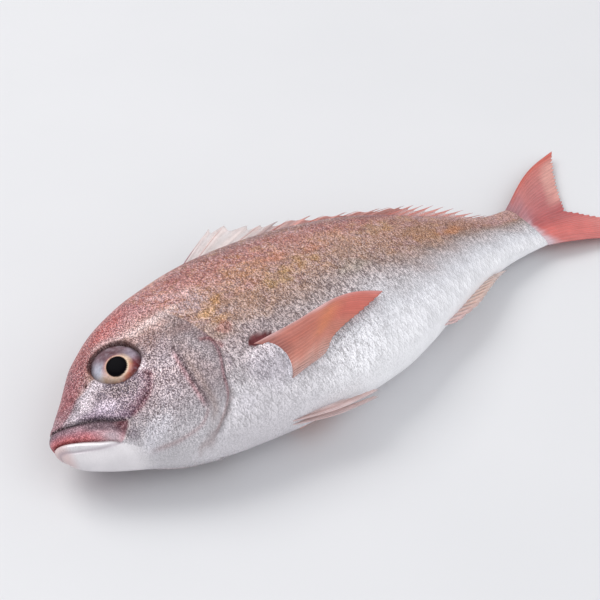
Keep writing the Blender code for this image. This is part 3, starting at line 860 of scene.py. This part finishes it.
edge_a, lead_a, number_a, row_a = scale_row(column, row)
edge_b, lead_b, number_b, row_b = scale_row(column + 0.5, row + 0.5)
front = lead_a.over(lead_b)  # the scale that starts further ahead lies on top
edge = front.choose(edge_b, edge_a)
number = f.vector(front.choose(number_b + 0.37, number_a), front.choose(row_b + 0.71, row_a), 0.0)
own = f.node("TexWhiteNoise", {"noise_dimensions": "3D"}, {"Vector": number})
# Painted light on each scale: a shadow line under its free edge, and a highlight band before it.
line = edge.between(0.20, 0.0)
edge_highlight = edge.between(0.42, 0.20) * (1.0 - line)
grain = f.noise(where, 1400.0, 2.0, 0.7)
patchy = f.noise(where, 120.0, 3.0, 0.6)


def cells(place, scale):
    """Two random numbers for every cell of a honeycomb."""
    colour = f.node("TexVoronoi", {"feature": "F1"}, {"Vector": place, "Scale": scale}, output=1)
    return f.parts(colour)[:2]


FLECKS, MOTES = 4.2, 2700.0  # cells to a scale, and cells to a metre
along, up, out = f.parts(where)
fleck, _ = cells(f.vector(column * 1.5, row * 0.9, 0.0), FLECKS)
mote, mote_hue = cells(f.vector(along * 1.35, up * 0.85, out * 0.85), MOTES)
speck = (fleck - 0.5) * (0.1 + scaly * 0.65) * (1.0 - mottle * 0.3) + (mote - 0.5) * 1.05 + (grain - 0.5) * 0.5
calm = f.noise(where, 70.0, 2.0).between(0.30, 0.60)
tone = 1.0 + speck * speckle * (1.3 + calm * 0.5) + (own - 0.5) * 0.10 * scaly + (patchy - 0.5) * 0.16
# The painted highlight band lightens each scale, and the painted shadow line under its free edge darkens it.
tone = (tone + (edge_highlight * 0.08 - line * 0.12) * scaly).between(0.4, 2.0) * 1.6 + 0.4  # kept from 0.4 to 2
# Painted shade: the hollows are made darker.
tone = tone * (1.0 - hollow_shade * 0.25)
golden = f.noise(where, 130.0, 3.0, 0.6).between(0.52, 0.66) * mottle
mauve = f.noise(where, 170.0, 2.0, 0.6).between(0.50, 0.66) * mottle
shade = f.mix(golden * 0.5, wash, (180, 128, 72))
shade = f.mix(mauve * 0.4, shade, (168, 132, 142))
shade = f.times(shade, tone)
strong = speckle * (0.44 + calm * 0.26)
# Painted glints: pale pink cells where the scales' silver would catch the light.
shade = f.mix(speck.between(-0.05, 0.80) * strong, shade, (246, 230, 227))
dark = f.mix(1.0, wash, (150, 108, 110), "MULTIPLY")
shade = f.mix((0.0 - speck).between(-0.05, 0.80) * strong * 0.95, shade, dark)
shade = f.mix(mote_hue.between(0.55, 0.95) * mottle * strong * 0.55, shade, (204, 140, 84))
shade = f.mix(mote_hue.between(0.45, 0.05) * strong * 0.30, shade, (176, 168, 190))
spark = speck.between(0.42, 0.75) * speckle
f.feed(
    Base_Color=shade,
    Metallic=mirror * 0.28 + spark * 0.2,
    Roughness=0.44 - mirror * 0.06 + (grain - 0.5) * 0.20 + hollow_shade * 0.2,
)
lift = (1.0 - edge) * scaly * 0.5 + fleck * 0.25 * speckle * scaly + mote * 0.15 * speckle + grain * 0.2
f.bump(lift, 0.00042, 0.85)
add_piece("fish_skin", body_mesh, skin_finish, "skin", "body")
print("skin", len(body_mesh.polygons), "faces")

# %% [markdown]
# ## The eyes
#
# A fish's eye is a flattened ball under a clear dome. It could be a ball with a separate cornea, but a wet opaque
# dome looks the same from outside: the black pupil, a thin cream ring and the mottled iris are painted on it. It is
# a ball squeezed to an oval, so that its edge lies under the skin's rim all round.

# %% Eye material and shape
EYE = (0.141, 0.12)  # distance from the snout, share of the half depth
EYE_HALF = (0.0101, 0.0117)  # metres, along the head and up it
EYE_SUNK = SOCKET_DEPTH * MILLIMETRE  # its rim lies on the socket's floor
EYE_RISE, EYE_BACK = 0.0049, 0.002  # metres, how far the dome and the back stand out from the rim
LENS_BULGE = 0.0005  # metres that the clear dome swells in front of the pupil
EYE_TILT = math.radians(ORBIT[2])
PUPIL, PUPIL_HALF = (0.1390, 0.0195), (0.0164, 0.0188)  # its middle and its half size, in body lengths
EYE_RINGS, EYE_COLUMNS = 72, 120
eye_finish = Finish("wet eye", Coat_Roughness=0.08, IOR=1.38, Specular_IOR_Level=0.03)
f = eye_finish
where = f.node("TexCoord", output="Object")
flecks = f.noise(where, 1300.0, 3.0, 0.7)
clouds = f.noise(where, 330.0, 3.0, 0.6)
iris = f.attribute("iris", 2)
tone = 1.0 + ((flecks - 0.5) * 1.1 + (clouds - 0.5) * 0.9) * iris
shade = f.times(f.attribute("paint", 0), tone)
shade = f.mix(clouds.between(0.40, 0.70) * iris * 0.3, shade, (190, 182, 192))
f.feed(Base_Color=shade, Roughness=0.30 + flecks * 0.16 * iris, Coat_Weight=iris * 0.4)
f.bump(flecks * iris, 0.00008)
# Colours of the iris round the pupil: degrees, 0 towards the tail and 90 towards the back. The bluish white between
# the back and the snout (138 to 160) is a painted soft reflection, and the light grey-lilac towards the tail (12) a
# painted highlight. The dark purple-brown top (85) is partly the iris's colour and partly painted shade under the
# brow.
IRIS = [
    (-180, (208, 188, 168)), (-160, (204, 170, 136)), (-142, (172, 126, 102)), (-120, (206, 156, 128)),
    (-80, (180, 88, 62)), (-50, (132, 50, 48)), (-20, (128, 66, 72)), (12, (156, 140, 154)), (50, (128, 104, 112)),
    (85, (104, 70, 78)), (112, (132, 110, 120)), (138, (184, 184, 198)), (160, (196, 196, 206)),
    (180, (208, 188, 168)),
]
INNER_IRIS = [
    (-180, (214, 176, 168)), (-110, (240, 216, 188)), (-50, (232, 150, 112)), (0, (240, 208, 178)),
    (70, (150, 92, 88)), (140, (190, 140, 138)), (180, (214, 176, 168)),
]
PUPIL_RING = [
    (-180, (214, 176, 160)), (-110, (240, 206, 182)), (-20, (248, 222, 192)), (70, (232, 184, 160)),
    (180, (214, 176, 160)),
]


def paint_eye(at):
    """Paints the eye at places seen from the side, and says where its iris is."""
    global paint
    pupil, edge = oval(PUPIL, PUPIL_HALF, at=at), oval(*ORBIT, at=at)
    around = np.degrees(np.arctan2(at[1] - PUPIL[1], at[0] - PUPIL[0]))
    paint = gradient(IRIS, around)
    lay(0.8 * step(1.70, 1.20, oval(PUPIL, (PUPIL_HALF[0], PUPIL_HALF[0]), at=at)), gradient(INNER_IRIS, around))
    lay(step(1.20, 1.08, pupil), gradient(PUPIL_RING, around))
    # Painted shade round the eye's edge, under the socket's rim, darker at the top under the brow.
    lay(step(0.74, 0.98, edge) * (0.45 + 0.5 * step(0.03, 0.06, at[1])), (62, 34, 36))
    lay(step(1.04, 0.98, pupil), (9, 8, 12))
    return step(1.0, 1.1, pupil)


def add_eye(name, eye_side):
    place = skin(np.array(EYE[0]), np.array(EYE[1]), np.array(eye_side))
    look = outward(np.array(EYE[0]), np.array(EYE[1]), np.array(eye_side))
    rear = unit(np.array((1.0, 0.0, 0.0)) - look * look[0])
    up = unit(np.cross(look, rear)) * eye_side
    c, s = math.cos(EYE_TILT), math.sin(EYE_TILT)
    level_way, long_way = rear * c + up * s, up * c - rear * s
    bm = bmesh.new()
    bmesh.ops.create_uvsphere(bm, u_segments=EYE_COLUMNS, v_segments=EYE_RINGS, radius=1.0)
    mesh = finish_mesh(bm, name)
    ring, column = grid_slots(mesh, EYE_RINGS, EYE_COLUMNS)
    tip, turn = ring * math.pi / EYE_RINGS, column * 2 * math.pi / EYE_COLUMNS
    out = np.cos(tip) * np.where(tip < math.pi / 2, EYE_RISE, EYE_BACK) - EYE_SUNK
    points = place + out[:, None] * look
    points += (np.sin(tip) * np.cos(turn) * EYE_HALF[0])[:, None] * level_way
    points += (np.sin(tip) * np.sin(turn) * EYE_HALF[1])[:, None] * long_way
    at = ((points - ORIGIN) / LENGTH).T[:2]
    lens_bulge = LENS_BULGE * step(1.9, 0.6, oval(PUPIL, PUPIL_HALF, at=at))
    set_points(mesh, points + lens_bulge[:, None] * look * (out > -EYE_SUNK)[:, None])
    store(mesh, "iris", paint_eye(at))
    store(mesh, "paint", paint, np.ones(len(paint)))
    add_piece(name, mesh, eye_finish, "eye", name.replace("_dome", ""))


add_eye("eye_left_dome", 1.0)
add_eye("eye_right_dome", -1.0)
print("two eyes", round(EYE_HALF[0] * 2000, 1), "by", round(EYE_HALF[1] * 2000, 1), "mm")

# %% [markdown]
# ## Fins
#
# A fin is a fan of bony rays with a thin web between them. Single rays with webs between would be many small parts;
# here one flat grid is pulled up into a closed sheet, whose thickness follows the rays, so that each ray is a real
# ridge on both faces and the web is thin. The hind edge is cut in between the rays.

# %% A closed sheet with rays
def flat_slab(columns, rows):
    """A closed flat slab of quads, and for each of its points u and v, from 0 to 1, and its face, -1 or 1."""
    bm = bmesh.new()
    bmesh.ops.create_grid(bm, x_segments=columns, y_segments=rows, size=0.5)
    raised = bmesh.ops.extrude_face_region(bm, geom=bm.faces[:])["geom"]
    bmesh.ops.translate(bm, vec=(0, 0, 1), verts=[part for part in raised if isinstance(part, bmesh.types.BMVert)])
    mesh = finish_mesh(bm, "slab")
    u, v, face = points_of(mesh).T.astype(float)
    return mesh, u + 0.5, v + 0.5, face * 2 - 1


def ray_ridge(u, v, rays, fork=0.55):
    """1 on a ray and 0 on the web between two; past fork each ray splits in two."""
    single = (0.5 + 0.5 * np.cos(2 * math.pi * rays * u)) ** 2.2
    double = (0.5 + 0.5 * np.cos(4 * math.pi * rays * u + math.pi)) ** 1.6
    split = step(fork - 0.12, fork + 0.18, v)
    return single * (1 - split) + double * split


def fin_sheet(name, columns, rows, middle, rays, web, ridge, fork=0.55):
    """A fin's mesh: middle(u, v) are points, web and ridge the thickness in mm at the root, thinner at the edge."""
    mesh, u, v, face = flat_slab(columns, rows)
    mesh.name = name
    d = 1e-3
    along_u = middle(np.minimum(u + d, 1.0), v) - middle(np.maximum(u - d, 0.0), v)
    along_v = middle(u, np.minimum(v + d, 1.0)) - middle(u, np.maximum(v - d, 0.0))
    normal = unit(np.cross(along_u, along_v))
    on_ray = ray_ridge(u, v, rays, fork)
    rim = step(0.0, 0.03, v) * step(1.0, 0.96, v) * 0.5 + 0.5
    thick = (web * (1 - 0.5 * v) + ridge * on_ray * (1 - 0.8 * v)) * MILLIMETRE * rim
    points = middle(u, v) + normal * (face * thick / 2)[:, None]
    points[:, 2] = np.maximum(points[:, 2], 0.0001 + 0.0001 * (face > 0))
    set_points(mesh, points)
    return mesh, u, v, on_ray


def fin_attributes(mesh, u, v, on_ray, cover, rays):
    """Keeps a fin's paint, how much its web covers, and its ray numbers for its material."""
    store(mesh, "rays", u * rays, v, 0 * u)
    store(mesh, "paint", paint, np.ones_like(u))
    store(mesh, "fin", on_ray, v, np.clip(cover + 0 * u, 0.0, 1.0))


def edge_line(x, heights, offset):
    """Points of the back or the belly, offset metres out, with the directions along and out of it."""
    d = 0.005
    rise = (blunt(heights, x + d) - blunt(heights, x - d)) * LENGTH
    along = unit(np.stack([np.full_like(rise, 2 * d * LENGTH), rise, np.zeros_like(rise)], -1))
    out = np.stack([-along[..., 1], along[..., 0], np.zeros_like(rise)], -1) * (1 if heights is BACK else -1)
    point = np.stack([x, blunt(heights, x), smooth(LEVEL, x)], -1) * LENGTH + ORIGIN
    return point + out * offset, along, out


def fin_finish(name, scale, **constants):
    """A fin's material: pale rays, fine lengthwise streaks, and a web that lets light by."""
    made = Finish(name, Roughness=0.4, Coat_Weight=0.25, Coat_Roughness=0.3, **constants)
    where = made.node("TexCoord", output="Object")
    ray, _, cover = made.parts(made.attribute("fin", 1))
    number, out, _ = made.parts(made.attribute("rays", 1))
    streak = made.noise(made.vector(number * 5.0, out * 2.5), 1.0, 3.0, 0.7)
    grain = made.noise(where, scale, 3.0, 0.7)
    patchy = made.noise(where, scale * 0.2, 3.0, 0.6)
    tone = 0.95 + ray * 0.10 + (streak - 0.5) * 0.70 + (grain - 0.5) * 0.30 + (patchy - 0.5) * 0.35
    made.feed(
        Base_Color=made.times(made.attribute("paint", 0), tone),
        Roughness=0.36 + grain * 0.2,
        Alpha=cover + (1.0 - cover) * ray * 0.9,
    )
    made.bump(ray * 0.5 + streak * 0.5 + grain * 0.3, 0.00018)
    return made


print("a slab of 4 by 2 has", len(flat_slab(4, 2)[0].polygons), "faces")

# %% [markdown]
# ## The tail fin
#
# The tail is a stiff forked fan, coral red, with a pale hind edge as finely toothed as a comb. Near its root it still
# has small silvery scales.

# %% Tail fin
TAIL_TIPS = {"low": (1.172, -0.088), "fork": (1.104, 0.038), "high": (1.202, 0.190)}  # in body lengths
TAIL_SPLIT, TAIL_RAYS = 0.46, 17  # where the fork is, from the lowest ray (0) to the highest one (1)


def tail_middle(u, v):
    low, fork, high = (np.array(TAIL_TIPS[key]) for key in ("low", "fork", "high"))
    below = u < TAIL_SPLIT
    away = np.where(below, 1 - u / TAIL_SPLIT, (u - TAIL_SPLIT) / (1 - TAIL_SPLIT))
    tip = fork + np.where(below[:, None], low - fork, high - fork) * away[:, None]
    tip[:, 0] += np.where(below, 0.018, -0.006) * np.sin(math.pi * away)
    teeth = 0.5 + 0.5 * np.cos(4 * math.pi * TAIL_RAYS * u + math.pi)  # two teeth to a ray, of uneven length
    tooth = 0.030 * (1 - teeth) + 0.010 * np.sin(37.0 * u) * np.sin(91.0 * u)
    v = v * (1 - tooth * step(0.0, 0.15, u) * step(1.0, 0.9, u))
    root_y = BELLY[-1][1] + (BACK[-1][1] - BELLY[-1][1]) * u
    root = np.stack([np.full_like(u, 0.992), root_y, np.full_like(u, LEVEL[-1][1])], -1)
    tip = np.stack([tip[:, 0], tip[:, 1], (0.0017 + 0.0024 * u) / LENGTH], -1)
    point = root + (tip - root) * v[:, None]
    point[:, 1] += 0.010 * np.sin(math.pi * v) * np.sin(math.pi * np.clip((u - 0.5) * 2, 0, 1))
    swell = 0.013 * np.sin(math.pi * v ** 1.3) * step(0.72, 1.0, u)  # the leading edge is round
    point[:, 0] -= 0.45 * swell
    point[:, 1] += 0.89 * swell
    settle = v * 0.5 + 0.5 * v * v
    settle = settle * settle * (3 - 2 * settle)
    point[:, 2] = root[:, 2] + (tip[:, 2] - root[:, 2]) * settle
    return point * LENGTH + ORIGIN


tail_finish = fin_finish("coral tail fin", 900.0)
mesh, u, v, on_ray = fin_sheet("tail fin", 272, 90, tail_middle, TAIL_RAYS, 0.45, 0.4, 0.35)
paint = gradient([
    (0.0, (206, 116, 112)), (0.25, (214, 112, 106)), (0.46, (184, 92, 92)), (0.6, (190, 108, 108)),
    (0.85, (198, 118, 114)), (1.0, (206, 106, 96)),
], u)
fine_drift = waves(u * 120, v * 50, 9.0, 5)
lay(0.75 * step(0.62, 0.95, v + 0.06 * fine_drift) * step(0.5, 0.62, u) * step(1.0, 0.88, u), (226, 170, 158))
lay(0.45 * step(0.6, 0.95, v + 0.05 * fine_drift) * step(0.42, 0.2, u) * step(0.0, 0.1, u), (226, 150, 144))
lay(0.8 * step(0.93, 0.99, u) * step(0.0, 0.3, v), (208, 102, 88))
lay(0.9 * step(0.22, 0.04, v + 0.05 * fine_drift) * step(0.72, 0.5, u), (214, 196, 204))
lay(0.9 * step(0.22, 0.04, v + 0.05 * fine_drift) * step(0.55, 0.75, u), (158, 112, 110))
lay(0.55 * step(0.42, 0.12, v + 0.05 * fine_drift) * step(0.35, 0.6, u), (172, 124, 134))
fin_attributes(mesh, u, v, on_ray, 0.96, TAIL_RAYS)
add_piece("tail_fan", mesh, tail_finish, "tail_fin", "tail_fin")
print("tail fin", len(mesh.polygons), "faces")

# %% [markdown]
# ## The pectoral fins
#
# The pectoral is the long pointed fin behind the gill cover. Its upper rays are stiff and orange red, the lower ones
# soft, short and almost clear. Its root lies at the raised rim of the lobe behind the gill cover, and the blade
# lies back along the flank, a little off it.

# %% Pectoral fins
PECTORAL_RAYS = 16
# Where the rays start and end, from the lowest (0) to the leading one (1): distances from the snout, then shares
PECTORAL_ROOT = [(0.0, 0.357), (0.3, 0.366), (0.55, 0.366), (0.8, 0.357), (0.93, 0.345), (1.0, 0.334)]
ROOT_SHARES = [(0.0, -0.83), (0.3, -0.76), (0.55, -0.67), (0.8, -0.585), (0.93, -0.53), (1.0, -0.495)]
PECTORAL_TIPS = [(0.0, 0.388), (0.18, 0.424), (0.35, 0.450), (0.5, 0.477), (0.7, 0.515), (0.85, 0.548), (1.0, 0.582)]
TIP_SHARES = [
    (0.0, -0.81), (0.18, -0.778), (0.35, -0.705), (0.5, -0.668), (0.7, -0.632), (0.85, -0.595), (1.0, -0.552),
]


def pectoral_middle(fin_side):
    lower = 0.0 if fin_side > 0 else 0.07

    def middle(u, v):
        teeth = 0.5 + 0.5 * np.cos(2 * math.pi * PECTORAL_RAYS * u)
        v = v * (1 - 0.014 * (1 - teeth) * step(1.0, 0.8, u))
        x = smooth(PECTORAL_ROOT, u) * (1 - v) + smooth(PECTORAL_TIPS, u) * v
        arch = 0.097 * np.sin(math.pi * v * v) * u ** 1.6
        share = smooth(ROOT_SHARES, u) * (1 - v) + smooth(TIP_SHARES, u) * v + arch - lower
        fin_sides = np.full_like(x, fin_side)
        stand_off = 0.0001 + 0.0006 * step(0.0, 0.12, v) + (0.0020 * v if fin_side > 0 else 0.0)
        flutter = 0.0003 * np.sin(9.0 * u + 2.0) * v
        point = skin(x, share, fin_sides) + outward(x, share, fin_sides) * (stand_off + flutter)[..., None]
        point[..., 2] = np.maximum(point[..., 2], 0.0006)
        return point
    return middle


pectoral_finish = fin_finish("salmon pectoral fin", 1000.0)
for name, fin_side in (("left", 1.0), ("right", -1.0)):
    mesh, u, v, on_ray = fin_sheet(
        f"pectoral {name}", 196, 70, pectoral_middle(fin_side), PECTORAL_RAYS, 0.28, 0.26, 0.45)
    fine_drift = waves(u * 40, v * 60, 8.0, 6)
    paint = gradient([
        (0.0, (214, 172, 164)), (0.22, (206, 156, 144)), (0.38, (198, 128, 112)), (0.6, (192, 118, 102)),
        (0.85, (190, 114, 100)), (0.95, (200, 134, 124)), (1.0, (222, 176, 174)),
    ], u + 0.03 * fine_drift)
    lay(0.55 * step(0.55, 0.85, v) * step(0.5, 0.8, u), (206, 98, 88))
    lay(0.5 * hump(v - 0.62, 0.12) * step(0.4, 0.6, u) * step(1.0, 0.85, u), (218, 132, 84))
    lay(0.6 * step(0.22, 0.02, v) * step(0.35, 0.7, u) * step(1.0, 0.95, u), (140, 78, 72))
    cover = 0.38 + 0.6 * step(0.18, 0.38, u + 0.08 * (1 - v)) - 0.15 * step(0.7, 1.0, v) * step(0.7, 0.3, u)
    fin_attributes(mesh, u, v, on_ray, cover, PECTORAL_RAYS)
    add_piece(f"pectoral_{name}", mesh, pectoral_finish, "pectoral_fin", f"pectoral_fin_{name}")
print("two pectoral fins of", PECTORAL_RAYS, "rays")

# %% [markdown]
# ## The dorsal fin
#
# The fin along the back has twelve bony spines in front and soft rays behind. On a dead fish it is half folded: the
# first spines still stand with a clear web between them, the next lie back on the ridge with only their sharp tips
# out, and the soft rays rise a little again. The web is one sheet, and each spine a thin cone set on the web.

# %% Dorsal fin's web
DORSAL_ROOT = [(0.0, 0.350), (0.545, 0.715), (1.0, 0.905)]  # distance from the snout, spines and then soft rays
DORSAL_LEAN = [  # degrees off the back
    (0.0, 27), (0.045, 27), (0.09, 20), (0.18, 16), (0.27, 11.5), (0.36, 5.5), (0.43, 3.5), (0.5, 5.5), (0.6, 15.5),
    (0.68, 19), (0.77, 14.5), (0.86, 7), (1.0, 3),
]
DORSAL_LENGTH = [  # mm
    (0.0, 34), (0.045, 32), (0.09, 30), (0.136, 27), (0.18, 26), (0.27, 24), (0.41, 24), (0.5, 25), (0.6, 22),
    (0.75, 19), (0.9, 16), (1.0, 10),
]
DORSAL_RAYS, SPINES = 22, 12  # all rays, of which the first are spines
FIN_SUNK = 0.0008  # metres that a fin's foot goes into the body


def dorsal_middle(u, v):
    root, along, out = edge_line(smooth(DORSAL_ROOT, u), BACK, -FIN_SUNK)
    lean = np.radians(smooth(DORSAL_LEAN, u))[:, None]
    between = 0.5 - 0.5 * np.cos(2 * math.pi * DORSAL_RAYS * u)
    folded = step(0.12, 0.2, u) * step(0.6, 0.54, u)
    since_tip = ((u * DORSAL_RAYS - 0.15) / 2) % 1.0
    cut_in = (0.13 - 0.09 * folded + 0.22 * step(0.56, 0.66, u)) * between ** 0.8 + 0.20 * folded * (1 - since_tip)
    length = (smooth(DORSAL_LENGTH, u) * MILLIMETRE + FIN_SUNK) * (1 - cut_in)
    point = root + (along * np.cos(lean) + out * np.sin(lean)) * (length * v)[:, None]
    fold_side = 0.0005 * np.sin(2 * math.pi * DORSAL_RAYS * u + 0.8) * v * step(0.1, 0.3, u)
    point[:, 2] += fold_side + 0.0012 * v * v
    return point


clear_fin = fin_finish("clear rosy fin", 1000.0)
mesh, u, v, on_ray = fin_sheet("dorsal web", 264, 34, dorsal_middle, DORSAL_RAYS, 0.22, 0.35, 0.9)
fine_drift = waves(u * 130, v * 24, 6.0, 7)
paint = gradient([
    (0.0, (236, 222, 220)), (0.14, (232, 214, 210)), (0.24, (222, 168, 160)), (0.36, (232, 170, 160)),
    (0.5, (240, 186, 176)), (0.62, (226, 158, 148)), (0.8, (224, 160, 150)), (1.0, (230, 180, 172)),
], u + 0.03 * fine_drift)
# Painted shade: the web's root is dark red where the fin lies folded on the back.
lay(0.7 * step(0.30, 0.0, v) * step(0.1, 0.2, u), (150, 76, 72))
lay(0.4 * on_ray * step(0.2, 0.35, u), (206, 124, 114))
# Painted shadow: a grey smudge that the fourth spine casts on the web.
lay(0.6 * hump(u - 0.185, 0.014) * step(0.2, 0.5, v), (134, 122, 124))
cover = 0.50 + 0.36 * step(0.14, 0.30, u) - 0.35 * step(0.55, 0.66, u) - 0.2 * step(0.6, 1.0, v)
fin_attributes(mesh, u, v, on_ray, cover, DORSAL_RAYS)
add_piece("dorsal_web", mesh, clear_fin, "dorsal_fin", "dorsal_fin")
print("dorsal web", len(mesh.polygons), "faces")

# %% Dorsal spines and soft rays
def bent_cone(bm, points, thick, sides=8):
    """A closed tapered ray through points, thick at each of them: a ball drawn out along the points."""
    made = bmesh.ops.create_uvsphere(bm, u_segments=sides, v_segments=len(points) - 1, radius=1.0)["verts"]
    way = unit(np.gradient(points, axis=0))
    across = unit(np.cross(way, (0.0, 0.0, 1.0)))
    over = np.cross(across, way)
    for vert in made:
        k = round(math.acos(max(-1.0, min(1.0, vert.co.z))) / math.pi * (len(points) - 1))
        spoke = Vector((vert.co.x, vert.co.y)).normalized() if 0 < k < len(points) - 1 else Vector((0.0, 0.0))
        vert.co = points[k] + (across[k] * spoke.x + over[k] * spoke.y) * thick[k]


bm = bmesh.new()
rays_u = (np.arange(DORSAL_RAYS) + 0.02) / DORSAL_RAYS
random = np.random.default_rng(4)
for k, ray_u in enumerate(rays_u):
    spiny = k < SPINES
    v = np.linspace(0.0, 1.0, 10)
    reach = 1.0 + (0.06 if spiny else 0.02) * random.uniform(0.4, 1.3)
    lift = np.full_like(v, ray_u)
    points = dorsal_middle(lift, v * 0.999)
    points = points[0] + (points - points[0]) * reach
    points[:, 2] += 0.0005 * (1 if k % 2 else -1) * (v if spiny else 0.2)
    points[:, 1] += 0.0008 * np.sin(math.pi * v) * (1 if spiny else 0.3)
    bent_cone(bm, points, (0.0003 if not spiny else 0.00034 if k < 4 else 0.00042) * (1 - 0.93 * v ** 1.3))
mesh = finish_mesh(bm, "dorsal spines")
u = ((points_of(mesh)[:, 0] - ORIGIN[0]) / LENGTH - 0.40) / 0.60
paint = gradient([
    (0.0, (168, 126, 134)), (0.05, (224, 196, 192)), (0.2, (216, 176, 172)), (0.3, (200, 124, 112)),
    (0.6, (192, 108, 98)), (1.0, (208, 142, 136)),
], u)
spine_finish = fin_finish("bony spine", 1200.0)
fin_attributes(mesh, u, 0 * u, np.ones_like(u), 1.0, DORSAL_RAYS)
add_piece("dorsal_spines", mesh, spine_finish, "dorsal_fin")
print(SPINES, "spines and", DORSAL_RAYS - SPINES, "soft rays")

# %% [markdown]
# ## The fins under the belly
#
# The anal fin and the paired pelvic fins are pale and clear, with a trace of rose. They are folded back against the
# belly, which only leaves their outer rays in sight.

# %% Anal and pelvic fins
ANAL, ANAL_RAYS = (0.672, 0.835), 11  # where its foot starts and ends, in distance from the snout
ANAL_LEAN, ANAL_LENGTH = [(0.0, 30), (1.0, 20)], [(0.0, 7), (0.2, 11), (0.5, 12), (1.0, 9)]  # degrees, mm
PELVIC, PELVIC_RAYS = (0.325, 0.345), 6


def anal_middle(u, v):
    root, along, out = edge_line(ANAL[0] + (ANAL[1] - ANAL[0]) * u, BELLY, -FIN_SUNK)
    lean = np.radians(smooth(ANAL_LEAN, u))[:, None]
    between = 0.5 - 0.5 * np.cos(2 * math.pi * ANAL_RAYS * u)
    length = (smooth(ANAL_LENGTH, u) * MILLIMETRE + FIN_SUNK) * (1 - 0.16 * between)
    point = root + (along * np.cos(lean) + out * np.sin(lean)) * (length * v)[:, None]
    point[:, 2] += 0.0007 * np.sin(2 * math.pi * ANAL_RAYS * u) * v - 0.0010 * v
    return point


def pelvic_middle(fin_side):
    def middle(u, v):
        root, _, _ = edge_line(PELVIC[1] + (PELVIC[0] - PELVIC[1]) * u, BELLY, -0.0006)
        tip, _, out = edge_line(0.425 + 0.057 * step(0.0, 0.8, u), BELLY, 0.0003)
        teeth = 0.5 + 0.5 * np.cos(2 * math.pi * PELVIC_RAYS * u)
        v = v * (1 - 0.05 * (1 - teeth))
        tip = tip + out * (0.0008 + 0.0042 * u)[:, None]
        point = root + (tip - root) * v[:, None] + out * (0.0022 * u * np.sin(math.pi * v))[:, None]
        point[:, 2] += fin_side * (0.0010 + 0.0010 * v)
        return point
    return middle


mesh, u, v, on_ray = fin_sheet("anal fin", 132, 30, anal_middle, ANAL_RAYS, 0.22, 0.15, 0.8)
fine_drift = waves(u * 50, v * 20, 6.0, 8)
paint = gradient([(0.0, (224, 190, 190)), (0.5, (226, 198, 186)), (1.0, (228, 212, 208))], u + 0.05 * fine_drift)
lay(0.5 * step(0.35, 0.0, v), (212, 160, 146))
lay(0.2 * on_ray, (214, 176, 164))
fin_attributes(mesh, u, v, on_ray, 0.36, ANAL_RAYS)
add_piece("anal_web", mesh, clear_fin, "pale_fin", "anal_fin")
for name, fin_side in (("left", 1.0), ("right", -1.0)):
    mesh, u, v, on_ray = fin_sheet(f"pelvic {name}", 96, 60, pelvic_middle(fin_side), PELVIC_RAYS, 0.3, 0.4, 0.6)
    paint = gradient([(0.0, (236, 222, 222)), (0.6, (234, 208, 204)), (1.0, (238, 224, 224))], u)
    lay(0.4 * on_ray, (204, 142, 136))
    lay(0.5 * step(0.8, 1.0, u) * step(0.5, 1.0, v), (222, 206, 206))
    fin_attributes(mesh, u, v, on_ray, 0.6, PELVIC_RAYS)
    add_piece(f"pelvic_{name}", mesh, clear_fin, "pale_fin", f"pelvic_fin_{name}")
print("anal fin and two pelvic fins")
